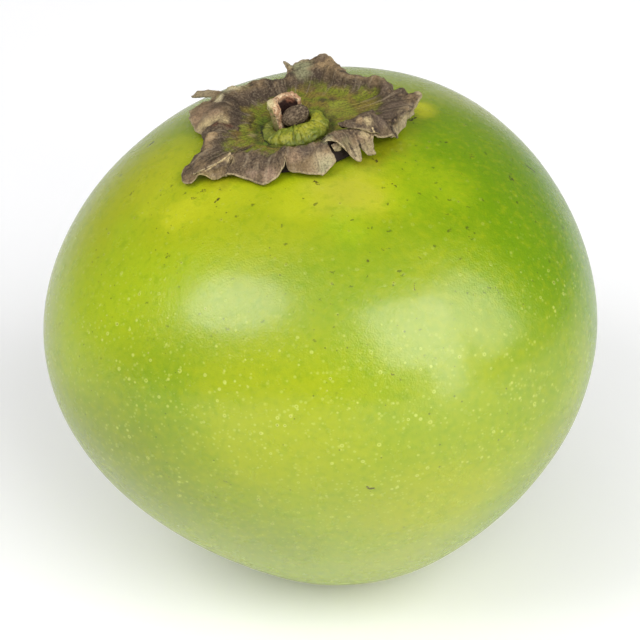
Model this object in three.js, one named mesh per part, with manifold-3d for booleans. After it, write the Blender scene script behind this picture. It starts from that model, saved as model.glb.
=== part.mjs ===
// Black sapote: a ripe green fruit standing on its blossom end, with its dried calyx and the broken
// stub of its stalk on top. Millimetres, +Z up; the origin is the middle of the flat spot it rests on.
import * as THREE from "three";
import { mergeVertices } from "three/addons/utils/BufferGeometryUtils.js";
import Module from "manifold-3d";

const wasm = await Module();
wasm.setup();

// ---- driving dimensions -------------------------------------------------------------------------

// The fruit's own frame has its origin at the belly centre and +Z through the calyx.
const BELLY_RADIUS = 48;
const CALYX_END = 46; // belly centre up to the skin under the calyx
const BLOSSOM_END = 49; // belly centre down to the unflattened blossom end
const SHOULDER = 0.27; // how much fuller the fruit is above its belly than below
const SQUARENESS = -0.05;
const OVAL = { amount: 0.025, bearing: 88 }; // wider along this bearing, in degrees
const THREE_SIDED = { amount: 0.062, bearing: 83 }; // three low, blunt corners
const BELLY_SHIFT = { x: 0.6, y: 0.4 }; // the belly bows a little off the axis
const LEAN = 7.5; // degrees that the calyx end leans towards -X
const REST_SPOT = new THREE.Vector3(3, 0, -46.8); // middle of the flat spot, from the belly centre

const GAP = 0.3; // between pieces that grow together
const CALYX_THICKNESS = 0.9;
const DISC_RADIUS = 6.5; // the calyx's flat middle, and the heights of its top above the skin
const DISC_HEIGHT = 1;
const DISC_FOOT = 1.9;

// The stalk's stub stands a little in front of the axis, on the calyx.
const STUB = { x: -0.1, y: -1.8 };
const STUB_FOOT = 1.3; // height of the stub's foot above the skin
const COLLAR = { x: 0.2, y: -2.1, inner: 4.3, outer: 6, height: 1.8, puckers: 16, pucker: 0.25 };
const SLEEVE = { inner: 2.6, outer: 3.6, from: 58, to: 208 };
const SLEEVE_TOPS = [4.6, 5.8, 6, 6.2, 6.5, 6.6, 6.2]; // torn edge's height, from its right end round
const PLUG = { x: 0.8, y: -2.2, height: 3.5, length: 2.6, width: 1.7, depth: 1.7, bearing: 40 };

// Mesh fineness, as counts of columns round and rows along.
const FRUIT_MESH = { columns: 56, rows: 32 };
const CALYX_MESH = { perStation: 2, rows: 9 };

// The calyx is one leathery sheet: a green disc that climbs from its foot to a ridge and hangs over
// it in dry, crumpled lobes. Each station gives the foot's radius, then the ridge and the edge as
// bearing (degrees, counterclockwise from +X), radius from the axis and height above the skin.
const CALYX_STATIONS = [
  // front-left lobe, between the pleats at 222 and 266
  [9.5, 220, 13.5, 3, 224, 17, 1.5],
  [9, 231, 12.5, 3, 233, 16.5, 1.5],
  [9, 240, 12, 3, 244, 17, 1],
  [9, 248, 12, 3, 253, 17.5, 1.5],
  [9, 256, 12, 3, 260, 16, 2],
  [9.5, 262, 12, 4, 264, 14.5, 2.5],
  [9.5, 266, 12.5, 5, 266, 14, 3.5],
  // front lobe
  [9.5, 269, 12.5, 4.5, 268, 14.5, 2],
  [9.5, 276, 12.5, 4.5, 274, 15, 1.5],
  [9.5, 283, 12.5, 4.5, 281, 15.5, 1.5],
  [9.5, 289, 13, 4.5, 288, 16.5, 1.5],
  [9.5, 293, 13, 5, 294, 16, 2],
  [9.5, 297, 12.5, 5, 299, 15, 2.5],
  // front-right lobe: a lifted, curled rim, then a hanging ear
  [9.5, 303, 12.5, 5.5, 304, 14.5, 4.5],
  [9.5, 309, 13, 5.5, 309, 15.5, 2],
  [9.5, 313, 13.5, 5.5, 313, 17, 1],
  [10, 318, 14.5, 5.5, 318, 18, 2],
  [10, 323, 15.5, 5.5, 323, 18, 1.5],
  [10, 328, 15, 5.5, 328, 17, 3],
  // right lobe, the largest
  [10, 335, 14.5, 6, 335, 17.5, 2.5],
  [10.5, 341, 16, 6, 341, 18.5, 2],
  [11, 348, 18, 5.5, 347, 19, 1.5],
  [11.5, 355, 19, 5, 355, 19.5, 1.5],
  [12, 362, 20, 5, 364, 20.5, 1.5],
  [12.5, 368, 21, 4.5, 371, 22.5, 3],
  [13.5, 374, 19.5, 5, 376, 22.5, 3.5],
  // back-right ridge
  [15, 381, 17.5, 4.5, 381, 19.5, 3],
  [16, 389, 17.5, 4.5, 388, 20, 2.5],
  [14.5, 397, 16.5, 4.5, 396, 20, 2.5],
  [13, 404, 15, 4.5, 404, 18.5, 2.5],
  [12.5, 412, 14.5, 5, 412, 18, 3],
  // upright peak at the back
  [13, 422, 15.5, 4.5, 424, 19, 4],
  [13.5, 433, 17, 4.5, 434, 20, 5.5],
  [13, 440, 16.5, 4, 441, 19.5, 4],
  [12, 446, 15.5, 4, 446, 20, 4.5],
  [11, 451, 14, 3.5, 452, 20, 3],
  [9, 456, 12, 3.5, 456, 20, 3.5],
  // low back-left lobes
  [8, 461, 11, 4, 461, 15, 3],
  [8, 467, 11.5, 4, 467, 15.5, 3.5],
  [9, 474, 12.5, 4, 474, 17, 3.5],
  [10, 482, 13, 4, 480, 17.5, 3],
  [10.5, 490, 13.5, 4, 487, 19, 2.5],
  [10.5, 498, 14, 4, 494, 21, 3],
  [10, 505, 13.5, 4, 500, 20, 2.5],
  // rounded left lobe
  [9.5, 511, 12.5, 4, 504, 22, 2.5],
  [9, 518, 12, 3.5, 511, 22.5, 2],
  [9, 527, 12, 3.5, 520, 20, 2],
  [9.5, 537, 12.5, 3.5, 530, 17.5, 1.5],
  [9.5, 547, 13, 4, 542, 16, 1.5],
  // long tongue at the front left
  [9.5, 555, 14, 4, 554, 17, 2.5],
  [10, 560, 15.5, 4.5, 560, 18.5, 2.5],
  [11, 566, 17.5, 4.5, 566, 21.5, 2],
  [11, 571, 18.5, 4, 570, 21.5, 1],
  [11, 575, 17.5, 4, 575, 20, 1.5],
  [10, 578, 15.5, 3.5, 579, 18.5, 1.5],
];

// Torn strips of the edge that stick out on their own: root and tip, as bearing, radius and height.
const TORN_STRIPS = [
  { root: [95, 16, 2.5], tip: [96, 22, 3.7], width: 1.4 },
  { root: [137, 16, 3], tip: [135, 26, 3], width: 1.2 },
];
const STRIP_THICKNESS = 0.7;

// ---- shared shapes ------------------------------------------------------------------------------

const radians = THREE.MathUtils.degToRad;

// Joins rings of equal length, or single end points, into one closed skin that faces outwards.
// With loop the last ring also joins the first.
function loft(sections, loop = false) {
  const positions = [];
  const starts = sections.map((section) => {
    const start = positions.length / 3;
    section.forEach((p) => positions.push(p.x, p.y, p.z));
    return start;
  });
  const triangles = [];
  const last = loop ? sections.length : sections.length - 1;
  for (let i = 0; i < last; i++) {
    const next = (i + 1) % sections.length;
    const count = Math.max(sections[i].length, sections[next].length);
    const at = (k, j) => starts[k] + (j % sections[k].length);
    for (let j = 0; j < count; j++) {
      if (sections[i].length > 1) triangles.push([at(i, j), at(next, j + 1), at(i, j + 1)]);
      if (sections[next].length > 1) triangles.push([at(i, j), at(next, j), at(next, j + 1)]);
    }
  }
  const geometry = new THREE.BufferGeometry();
  geometry.setAttribute("position", new THREE.Float32BufferAttribute(positions, 3));
  const inward = signedVolume(positions, triangles) < 0;
  geometry.setIndex(triangles.flatMap(([a, b, c]) => (inward ? [a, c, b] : [a, b, c])));
  return geometry;
}

function signedVolume(positions, triangles) {
  const corner = (i) => new THREE.Vector3().fromArray(positions, 3 * i);
  return triangles.reduce((sum, [a, b, c]) => sum + corner(a).dot(corner(b).cross(corner(c))), 0) / 6;
}

// A point of the fruit's skin: polar angle from the calyx end and bearing, both in radians.
function skinPoint(polar, bearing) {
  const side = Math.sin(polar);
  const up = Math.cos(polar);
  const oval = OVAL.amount * Math.cos(2 * (bearing - radians(OVAL.bearing)));
  const corners = THREE_SIDED.amount * Math.cos(3 * (bearing - radians(THREE_SIDED.bearing)));
  const round = BELLY_RADIUS * side * (1 + SHOULDER * up + SQUARENESS * up * up);
  const radius = round * (1 + side * side * (oval + corners));
  return new THREE.Vector3(
    radius * Math.cos(bearing) + BELLY_SHIFT.x * side * side,
    radius * Math.sin(bearing) + BELLY_SHIFT.y * side * side,
    up * (up > 0 ? CALYX_END : BLOSSOM_END),
  );
}

// Height of the skin above the belly centre, over a point on the calyx end.
function skinHeight(x, y) {
  const bearing = Math.atan2(y, x);
  const target = Math.hypot(x, y);
  let low = 0;
  let high = Math.PI / 3;
  for (let i = 0; i < 30; i++) {
    const polar = (low + high) / 2;
    const p = skinPoint(polar, bearing);
    if (Math.hypot(p.x, p.y) < target) low = polar;
    else high = polar;
  }
  return skinPoint(low, bearing).z;
}

// Turns (x, y, height above the skin) into a point in the fruit's own frame.
function onSkin(p) {
  return new THREE.Vector3(p.x, p.y, skinHeight(p.x, p.y) + p.z);
}

// Stands a shape made in the fruit's own frame on its flat spot, leaning.
function standing(geometry) {
  geometry.rotateY(-radians(LEAN));
  return geometry.translate(-REST_SPOT.x, -REST_SPOT.y, -REST_SPOT.z);
}

function polarPoint(bearing, radius, height) {
  const angle = radians(bearing);
  return new THREE.Vector3(radius * Math.cos(angle), radius * Math.sin(angle), height);
}

function solid(geometry) {
  const bare = new THREE.BufferGeometry();
  bare.setAttribute("position", geometry.getAttribute("position"));
  bare.setIndex(geometry.getIndex());
  const merged = mergeVertices(bare);
  const vertProperties = new Float32Array(merged.getAttribute("position").array);
  const triVerts = new Uint32Array(merged.getIndex().array);
  return new wasm.Manifold(new wasm.Mesh({ numProp: 3, vertProperties, triVerts }));
}

function geometryOf(manifold) {
  const mesh = manifold.getMesh();
  const geometry = new THREE.BufferGeometry();
  geometry.setAttribute("position", new THREE.BufferAttribute(mesh.vertProperties, 3));
  geometry.setIndex(new THREE.BufferAttribute(mesh.triVerts, 1));
  return geometry;
}

// ---- the fruit ----------------------------------------------------------------------------------

function fruitGeometry() {
  const { columns, rows } = FRUIT_MESH;
  const sections = [];
  for (let i = 0; i <= rows; i++) {
    const polar = (Math.PI * i) / rows;
    const count = i === 0 || i === rows ? 1 : columns;
    const ring = [];
    for (let j = 0; j < count; j++) ring.push(skinPoint(polar, (2 * Math.PI * j) / columns));
    sections.push(ring);
  }
  const size = 4 * BELLY_RADIUS;
  const ground = new THREE.BoxGeometry(size, size, size).translate(0, 0, -size / 2);
  return geometryOf(solid(standing(loft(sections))).subtract(solid(ground)));
}

// ---- the calyx ----------------------------------------------------------------------------------

// The sheet's upper side along one column, from the disc's rim at the stub out to the edge.
function calyxProfile(foot, ridge, edge) {
  const along = (radius, height) => {
    const scale = radius / Math.hypot(ridge.x, ridge.y);
    return new THREE.Vector3(ridge.x * scale, ridge.y * scale, height);
  };
  const shoulder = ridge.clone().lerp(edge, 0.6);
  shoulder.z = THREE.MathUtils.lerp(ridge.z, edge.z, 0.35);
  const points = [
    along(DISC_RADIUS / 3, DISC_HEIGHT),
    along(DISC_RADIUS, DISC_HEIGHT),
    along(Math.hypot(foot.x, foot.y), DISC_FOOT),
    ridge,
    shoulder,
    edge,
  ];
  return new THREE.CatmullRomCurve3(points, false, "centripetal").getPoints(CALYX_MESH.rows);
}

// The lower side lies one thickness inside the upper side, and clear of the skin.
function underside(profile) {
  return profile.map((p, i) => {
    const before = profile[Math.max(i - 1, 0)];
    const after = profile[Math.min(i + 1, profile.length - 1)];
    const run = Math.hypot(after.x - before.x, after.y - before.y);
    const rise = after.z - before.z;
    const slope = Math.atan2(rise, run);
    const reach = Math.hypot(p.x, p.y);
    const inner = reach + CALYX_THICKNESS * Math.sin(slope);
    const height = Math.max(p.z - CALYX_THICKNESS * Math.cos(slope), GAP);
    return new THREE.Vector3((p.x * inner) / reach, (p.y * inner) / reach, height);
  });
}

// A flat strip of the sheet that narrows to its tip.
function stripGeometry({ root, tip, width }) {
  const start = onSkin(polarPoint(...root));
  const end = onSkin(polarPoint(...tip));
  const across = new THREE.Vector3().subVectors(end, start).cross(new THREE.Vector3(0, 0, 1)).normalize();
  const sections = [0, 1].map((t) => {
    const middle = start.clone().lerp(end, t);
    const half = THREE.MathUtils.lerp(width, width / 3, t) / 2;
    return [-1, 1].flatMap((side) =>
      [side, -side].map((up) => {
        const corner = middle.clone().addScaledVector(across, side * half);
        corner.z += (up * STRIP_THICKNESS) / 2;
        return corner;
      }),
    );
  });
  return loft(capped(sections));
}

// Closes a row of rings with a point in the middle of its first and last ring.
function capped(sections) {
  const middle = (ring) => {
    const sum = ring.reduce((total, p) => total.add(p), new THREE.Vector3());
    return [sum.divideScalar(ring.length)];
  };
  return [middle(sections[0]), ...sections, middle(sections.at(-1))];
}

function calyxGeometry() {
  const line = (place) => new THREE.CatmullRomCurve3(CALYX_STATIONS.map(place), true, "catmullrom");
  const feet = line((s) => polarPoint(s[1], s[0], DISC_FOOT));
  const ridges = line((s) => polarPoint(s[1], s[2], s[3]));
  const edges = line((s) => polarPoint(s[4], s[5], s[6]));
  const columns = CALYX_STATIONS.length * CALYX_MESH.perStation;
  const profiles = [];
  for (let i = 0; i < columns; i++) {
    const turn = i / columns;
    profiles.push(calyxProfile(feet.getPoint(turn), ridges.getPoint(turn), edges.getPoint(turn)));
  }
  const undersides = profiles.map(underside);
  const ring = (lines, row) => lines.map((line) => onSkin(line[row]));
  const rows = profiles[0].map((_, row) => row);
  const top = rows.map((row) => ring(profiles, row));
  const bottom = rows.map((row) => ring(undersides, row)).reverse();
  const centre = (height) => [onSkin(new THREE.Vector3(0, 0, height))];
  const sheet = solid(loft([centre(DISC_HEIGHT), ...top, ...bottom, centre(GAP)]));
  const whole = TORN_STRIPS.reduce((sum, strip) => sum.add(solid(stripGeometry(strip))), sheet);
  return standing(geometryOf(whole));
}

// ---- the stalk's stub ---------------------------------------------------------------------------

// Green ring of puckered skin round the stub.
function collarGeometry() {
  const steps = COLLAR.puckers * 4;
  const middle = (COLLAR.inner + COLLAR.outer) / 2;
  const half = (COLLAR.outer - COLLAR.inner) / 2;
  const sections = [];
  for (let i = 0; i < steps; i++) {
    const turn = (2 * Math.PI * i) / steps;
    const swell = COLLAR.pucker * Math.cos(COLLAR.puckers * turn);
    const ring = [];
    for (let j = 0; j < 8; j++) {
      const angle = (2 * Math.PI * (j + 0.5)) / 8;
      const outwards = Math.cos(angle) > 0 ? swell : 0;
      const radius = middle + (half + outwards) * Math.cos(angle);
      const upwards = Math.sin(angle) > 0 ? swell : 0;
      const height = STUB_FOOT + COLLAR.height / 2 + (COLLAR.height / 2 + upwards) * Math.sin(angle);
      const x = COLLAR.x + radius * Math.cos(turn);
      const y = COLLAR.y + radius * Math.sin(turn);
      ring.push(onSkin(new THREE.Vector3(x, y, height)));
    }
    sections.push(ring);
  }
  return standing(loft(sections, true));
}

// Torn sleeve of bark round the back and left of the stub, open at the front right.
function sleeveGeometry() {
  const steps = 3 * (SLEEVE_TOPS.length - 1);
  const tops = new THREE.SplineCurve(SLEEVE_TOPS.map((top, i) => new THREE.Vector2(i, top)));
  const sections = [];
  for (let i = 0; i <= steps; i++) {
    const bearing = THREE.MathUtils.lerp(SLEEVE.from, SLEEVE.to, i / steps);
    const top = tops.getPoint(i / steps).y;
    const corner = (radius, height) => {
      const p = polarPoint(bearing, radius, height);
      return onSkin(new THREE.Vector3(STUB.x + p.x, STUB.y + p.y, p.z));
    };
    sections.push([
      corner(SLEEVE.inner, STUB_FOOT),
      corner(SLEEVE.outer, STUB_FOOT),
      corner(SLEEVE.outer, top),
      corner(SLEEVE.inner, top),
    ]);
  }
  return standing(loft(capped(sections)));
}

// Rounded plug of dry wood that the stalk broke away from, lying in the sleeve's open side.
function plugGeometry() {
  const geometry = new THREE.SphereGeometry(1, 16, 10);
  geometry.deleteAttribute("normal");
  geometry.deleteAttribute("uv");
  const ball = mergeVertices(geometry);
  ball.scale(PLUG.length, PLUG.width, PLUG.depth);
  ball.rotateZ(radians(PLUG.bearing));
  const centre = onSkin(new THREE.Vector3(PLUG.x, PLUG.y, PLUG.height));
  return standing(ball.translate(centre.x, centre.y, centre.z));
}

// ---- the scene ----------------------------------------------------------------------------------

function piece(name, geometry, color, roughness) {
  const material = new THREE.MeshStandardMaterial({ color, roughness, metalness: 0 });
  const mesh = new THREE.Mesh(geometry, material);
  mesh.name = name;
  return mesh;
}

const sapote = new THREE.Group();
sapote.add(
  piece("fruit", fruitGeometry(), 0xa9c23c, 0.35),
  piece("calyx", calyxGeometry(), 0x6b5a45, 0.85),
  piece("calyx_collar", collarGeometry(), 0x9aa838, 0.6),
  piece("stem_sleeve", sleeveGeometry(), 0xa8805f, 0.9),
  piece("stem_plug", plugGeometry(), 0x5f5140, 0.9),
);

export default sapote;
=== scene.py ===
"""A ripe-green black sapote on its base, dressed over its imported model, on a pale table."""

import math

import bpy
import numpy as np
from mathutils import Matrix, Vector, noise

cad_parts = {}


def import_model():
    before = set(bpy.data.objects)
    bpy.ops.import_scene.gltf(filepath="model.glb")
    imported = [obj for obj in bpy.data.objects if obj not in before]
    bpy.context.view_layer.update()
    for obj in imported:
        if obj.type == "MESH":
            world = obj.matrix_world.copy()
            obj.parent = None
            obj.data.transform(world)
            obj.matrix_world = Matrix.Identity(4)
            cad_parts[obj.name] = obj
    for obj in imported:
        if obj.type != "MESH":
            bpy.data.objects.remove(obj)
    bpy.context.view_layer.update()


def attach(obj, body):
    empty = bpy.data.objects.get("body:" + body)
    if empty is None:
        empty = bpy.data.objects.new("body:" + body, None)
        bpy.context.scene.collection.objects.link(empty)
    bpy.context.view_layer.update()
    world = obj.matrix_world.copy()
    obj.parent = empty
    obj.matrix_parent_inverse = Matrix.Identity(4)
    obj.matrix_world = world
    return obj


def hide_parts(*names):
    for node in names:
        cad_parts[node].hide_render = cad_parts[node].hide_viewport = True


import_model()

# ---- The fruit ------------------------------------------------------------------------------------
# The whole berry, grown in one piece: taut, waxy skin over soft pulp, round at the belly with three
# blunt corners, full at the shoulders and drawn in towards the base. It leans on a small flat spot
# that its own weight has pressed, and nothing holds it.

MM = 0.001
BELLY_RADIUS = 48  # millimetres, as in the part's source
CALYX_END = 46
BLOSSOM_END = 49
SHOULDER = 0.27
SQUARENESS = -0.05
OVAL, OVAL_BEARING = 0.025, math.radians(88)
THREE_SIDED, THREE_SIDED_BEARING = 0.062, math.radians(83)
BELLY_SHIFT_X, BELLY_SHIFT_Y = 0.6, 0.4
LEAN = math.radians(7.5)
REST_X, REST_Z = 3, -46.8  # middle of the flat spot, from the belly centre

SKIN_COLUMNS, SKIN_ROWS = 400, 199
PRESSED_EDGE = 0.6  # how softly the flat spot turns into the round, in millimetres
DENT_DEPTH, DENT_SPREAD = 0.22, 17  # slow unevenness of the skin, in millimetres
# The search for a place on the skin: its steps, and how far from the calyx end it looks.
HALVINGS, SEARCHED = 30, math.pi / 3


def skin_point(polar, bearing):
    """Points of the skin in the fruit's own frame, in millimetres."""
    side, up = np.sin(polar), np.cos(polar)
    oval = OVAL * np.cos(2 * (bearing - OVAL_BEARING))
    corners = THREE_SIDED * np.cos(3 * (bearing - THREE_SIDED_BEARING))
    radius = BELLY_RADIUS * side * (1 + SHOULDER * up + SQUARENESS * up * up)
    radius = radius * (1 + side * side * (oval + corners))
    x = radius * np.cos(bearing) + BELLY_SHIFT_X * side * side
    y = radius * np.sin(bearing) + BELLY_SHIFT_Y * side * side
    z = up * np.where(up > 0, CALYX_END, BLOSSOM_END)
    return np.stack(np.broadcast_arrays(x, y, z), -1)


def skin_height(x, y):
    """Height of the skin above the belly centre, over points of the calyx end."""
    bearing, target = np.arctan2(y, x), np.hypot(x, y)
    low, high = np.zeros_like(target), np.full_like(target, SEARCHED)
    for _ in range(HALVINGS):
        polar = (low + high) / 2
        reached = skin_point(polar, bearing)
        inside = np.hypot(reached[..., 0], reached[..., 1]) < target
        low, high = np.where(inside, polar, low), np.where(inside, high, polar)
    return skin_point(low, bearing)[..., 2]


def stand(points):
    """Leans points of the fruit's own frame and stands them on the flat spot, in metres."""
    x, y, z = points[..., 0], points[..., 1], points[..., 2]
    across = x * math.cos(LEAN) - z * math.sin(LEAN) - REST_X
    upward = x * math.sin(LEAN) + z * math.cos(LEAN) - REST_Z
    return np.stack((across, y, upward), -1) * MM


def grown(name, points, faces):
    """A smooth-shaded mesh object, in metres."""
    mesh = bpy.data.meshes.new(name)
    mesh.from_pydata(points.reshape(-1, 3).tolist(), [], faces)
    mesh.shade_smooth()
    made = bpy.data.objects.new(name, mesh)
    bpy.context.scene.collection.objects.link(made)
    return made


def quads(rows, columns, first=0, around=True):
    """Faces of a grid of vertices, row by row, closed round its columns if around."""
    last = columns if around else columns - 1
    faces = []
    for i in range(rows - 1):
        for j in range(last):
            a, b = first + i * columns + j, first + i * columns + (j + 1) % columns
            faces.append((a, a + columns, b + columns, b))
    return faces


def caps(rows, columns):
    """Faces that close a grid's first and last rows, each round one of the two vertices after it."""
    start, end = rows * columns, rows * columns + 1
    last_row = (rows - 1) * columns
    faces = []
    for j in range(columns):
        following = (j + 1) % columns
        faces.append((start, j, following))
        faces.append((end, last_row + following, last_row + j))
    return faces


def grow_skin():
    polar = np.linspace(0, math.pi, SKIN_ROWS + 2)[1:-1, None]
    bearing = np.linspace(0, 2 * math.pi, SKIN_COLUMNS, endpoint=False)[None, :]
    rings = skin_point(polar, bearing)
    ends = skin_point(np.array([0, math.pi]), np.zeros(2))
    points = np.concatenate((rings.reshape(-1, 3), ends))
    dents = [noise.noise(Vector(p) / DENT_SPREAD) for p in points]
    outward = points / np.linalg.norm(points, axis=1)[:, None]
    points = stand(points + outward * DENT_DEPTH * np.array(dents)[:, None])
    edge = PRESSED_EDGE * MM
    points[:, 2] = (points[:, 2] + np.sqrt(points[:, 2] ** 2 + edge**2)) / 2
    faces = quads(SKIN_ROWS, SKIN_COLUMNS) + caps(SKIN_ROWS, SKIN_COLUMNS)
    return grown("fruit_skin", points, faces)


def paint(red, green, blue):
    """A colour given in display values from 0 to 255."""
    shown = np.array((red, green, blue)) / 255
    linear = np.where(shown <= 0.04045, shown / 12.92, ((shown + 0.055) / 1.055) ** 2.4)
    return (*linear.tolist(), 1)


class Field:
    """A value that varies over a surface, out of a shader node. Each sign adds a Math node."""

    def __init__(self, socket):
        self.socket = socket
        self.tree = socket.id_data

    def math(self, operation, other):
        return place(self.tree, "Math", {0: self, 1: other}, operation=operation)["Value"]

    def __add__(self, other):
        return self.math("ADD", other)

    def __sub__(self, other):
        return self.math("SUBTRACT", other)

    def __mul__(self, other):
        return self.math("MULTIPLY", other)

    def __truediv__(self, other):
        return self.math("DIVIDE", other)


def connect(node, inputs):
    """Gives inputs of a shader node a plain value or a field each."""
    for socket, value in inputs.items():
        if isinstance(value, Field):
            value.tree.links.new(value.socket, node.inputs[socket])
        else:
            node.inputs[socket].default_value = value


def place(tree, kind, inputs, **settings):
    """Adds a shader node, and gives its outputs as fields."""
    made = tree.nodes.new("ShaderNode" + kind)
    for setting, value in settings.items():
        setattr(made, setting, value)
    connect(made, inputs)
    return {output.identifier: Field(output) for output in made.outputs}


def vectors(operation, first, second):
    """Vector arithmetic: what comes out is a Vector or, for a distance or product, a Value."""
    return place(first.tree, "VectorMath", {0: first, 1: second}, operation=operation)


def scaled(vector, factor):
    return place(vector.tree, "VectorMath", {0: vector, "Scale": factor}, operation="SCALE")["Vector"]


def fade(value, start, end):
    """0 at start and 1 at end, eased at both."""
    limits = {"Value": value, "From Min": start, "From Max": end}
    return place(value.tree, "MapRange", limits, interpolation_type="SMOOTHSTEP")["Result"]


def over(mask, below, above):
    """The colour above laid over the colour below through a mask."""
    return place(mask.tree, "Mix", {0: mask, 6: below, 7: above}, data_type="RGBA")["Result_Color"]


def group_tree(name, inputs, outputs):
    """An empty shader group: its tree, its inputs as fields, and the node its outputs go to."""
    tree = bpy.data.node_groups.new(name, "ShaderNodeTree")
    for socket, kind in inputs.items():
        tree.interface.new_socket(name=socket, in_out="INPUT", socket_type="NodeSocket" + kind)
    for socket in outputs:
        tree.interface.new_socket(name=socket, in_out="OUTPUT", socket_type="NodeSocketFloat")
    given = {socket.name: Field(socket) for socket in tree.nodes.new("NodeGroupInput").outputs}
    return tree, given, tree.nodes.new("NodeGroupOutput")


def grouped(group, **inputs):
    """Adds that shader group beside what it is given, and gives its outputs as fields."""
    made = inputs["Place"].tree.nodes.new("ShaderNodeGroup")
    made.node_tree = group
    connect(made, inputs)
    return {output.name: Field(output) for output in made.outputs}


def make_mottle():
    """Noise around 0.5 with features 1 / Scale millimetres wide, and Detail finer layers in it."""
    inputs = {"Place": "Vector", "Scale": "Float", "Detail": "Float"}
    tree, given, result = group_tree("mottle", inputs, ["Value"])
    layers = {"Vector": given["Place"], "Scale": given["Scale"], "Detail": given["Detail"]}
    connect(result, {"Value": place(tree, "TexNoise", layers)["Fac"]})
    return tree


MOTTLE = make_mottle()


def mottle(at, scale, detail=3.0):
    return grouped(MOTTLE, Place=at, Scale=scale, Detail=detail)["Value"]


def make_blotch():
    """A soft-edged, uneven patch of that radius round a place, all in millimetres."""
    inputs = {"Place": "Vector", "Centre": "Vector", "Radius": "Float"}
    tree, given, result = group_tree("blotch", inputs, ["Patch"])
    share = vectors("DISTANCE", given["Place"], given["Centre"])["Value"] / given["Radius"]
    waves = vectors("DIVIDE", given["Place"], given["Radius"])["Vector"]
    ragged = share + (mottle(waves, 1.5) - 0.5)
    connect(result, {"Patch": fade(ragged, 1.05, 0.25)})
    return tree


def make_scratch():
    """A thin wavering line of that width from one place to another, all in millimetres."""
    inputs = {"Place": "Vector", "Start": "Vector", "End": "Vector", "Width": "Float"}
    tree, given, result = group_tree("scratch", inputs, ["Line"])
    along = vectors("SUBTRACT", given["End"], given["Start"])["Vector"]
    across = vectors("SUBTRACT", given["Place"], given["Start"])["Vector"]
    covered = vectors("DOT_PRODUCT", across, along)["Value"]
    share = covered / vectors("DOT_PRODUCT", along, along)["Value"]
    nearest = scaled(along, place(tree, "Clamp", {0: share})["Result"])
    distance = vectors("DISTANCE", across, nearest)["Value"]
    waver = (mottle(given["Place"], 2.0) - 0.5) * 2.0
    connect(result, {"Line": fade(distance / given["Width"] + waver, 1.0, 0.4)})
    return tree


LEAST_SPECK = 0.45  # radius of the smallest, as a share of Size; the largest has 1 more


def make_specks():
    """Round specks: cells lie Spacing apart, Share of them hold one, and its radius is about Size."""
    inputs = {"Place": "Vector", "Spacing": "Float", "Size": "Float", "Share": "Float"}
    tree, given, result = group_tree("specks", inputs, ["Speck", "Core", "Pick"])
    scale = place(tree, "Math", {0: 1.0, 1: given["Spacing"]}, operation="DIVIDE")["Value"]
    cells = place(tree, "TexVoronoi", {"Vector": given["Place"], "Scale": scale})
    pick = place(tree, "SeparateColor", {"Color": cells["Color"]})
    held = pick["Red"].math("LESS_THAN", given["Share"])
    near = cells["Distance"] * given["Spacing"] / (given["Size"] * (pick["Green"] + LEAST_SPECK))
    specks = {"Speck": held * fade(near, 1.05, 0.6), "Core": held * fade(near, 0.55, 0.25)}
    connect(result, {**specks, "Pick": pick["Blue"]})
    return tree


BLOTCH, SCRATCH, SPECKS = make_blotch(), make_scratch(), make_specks()


def patched(at, colour, patches):
    """Lays patches over a colour; each has a middle, a radius, a colour and a strength."""
    for centre, radius, shade, strength in patches:
        patch = grouped(BLOTCH, Place=at, Centre=centre, Radius=radius)["Patch"]
        colour = over(patch * strength, colour, shade)
    return colour


def lined(at, colour, path, width, shade, strength):
    """Lays a thin line over a colour along a path; the strength is a number or a field."""
    for start, end in zip(path, path[1:]):
        line = grouped(SCRATCH, Place=at, Start=start, End=end, Width=width)["Line"]
        colour = over(line * strength, colour, shade)
    return colour


def bumps(relief, height, strength=1.0):
    """Normals of a surface with that relief, so many millimetres high."""
    inputs = {"Height": relief, "Strength": strength, "Distance": height * MM}
    return place(relief.tree, "Bump", inputs)["Normal"]


def finish_material(name, constants):
    """A material, its one Principled shader with those constants, and places on it in millimetres."""
    material = bpy.data.materials.new(name)
    material.use_nodes = True
    shader = material.node_tree.nodes["Principled BSDF"]
    connect(shader, constants)
    at = place(material.node_tree, "TexCoord", {})["Object"]
    return material, shader, scaled(at, 1 / MM)


SKIN_GREEN = paint(139, 157, 16)
SKIN_DEEP_GREEN = paint(102, 138, 4)
SKIN_DULL_GREEN = paint(122, 138, 22)
SKIN_YELLOW = paint(163, 169, 16)
SKIN_GOLD = paint(196, 198, 36)
SKIN_LEMON = paint(178, 172, 62)
SKIN_LEAF = paint(148, 178, 20)
SKIN_PALE = paint(148, 160, 28)
SKIN_LIME = paint(158, 178, 20)
SKIN_OLIVE_AND_SHADE = paint(122, 112, 20)
LENTICEL = paint(194, 202, 96)
SPECK = paint(62, 70, 20)
SCAB = paint(66, 54, 26)
RUSSET = paint(108, 84, 40)
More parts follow.
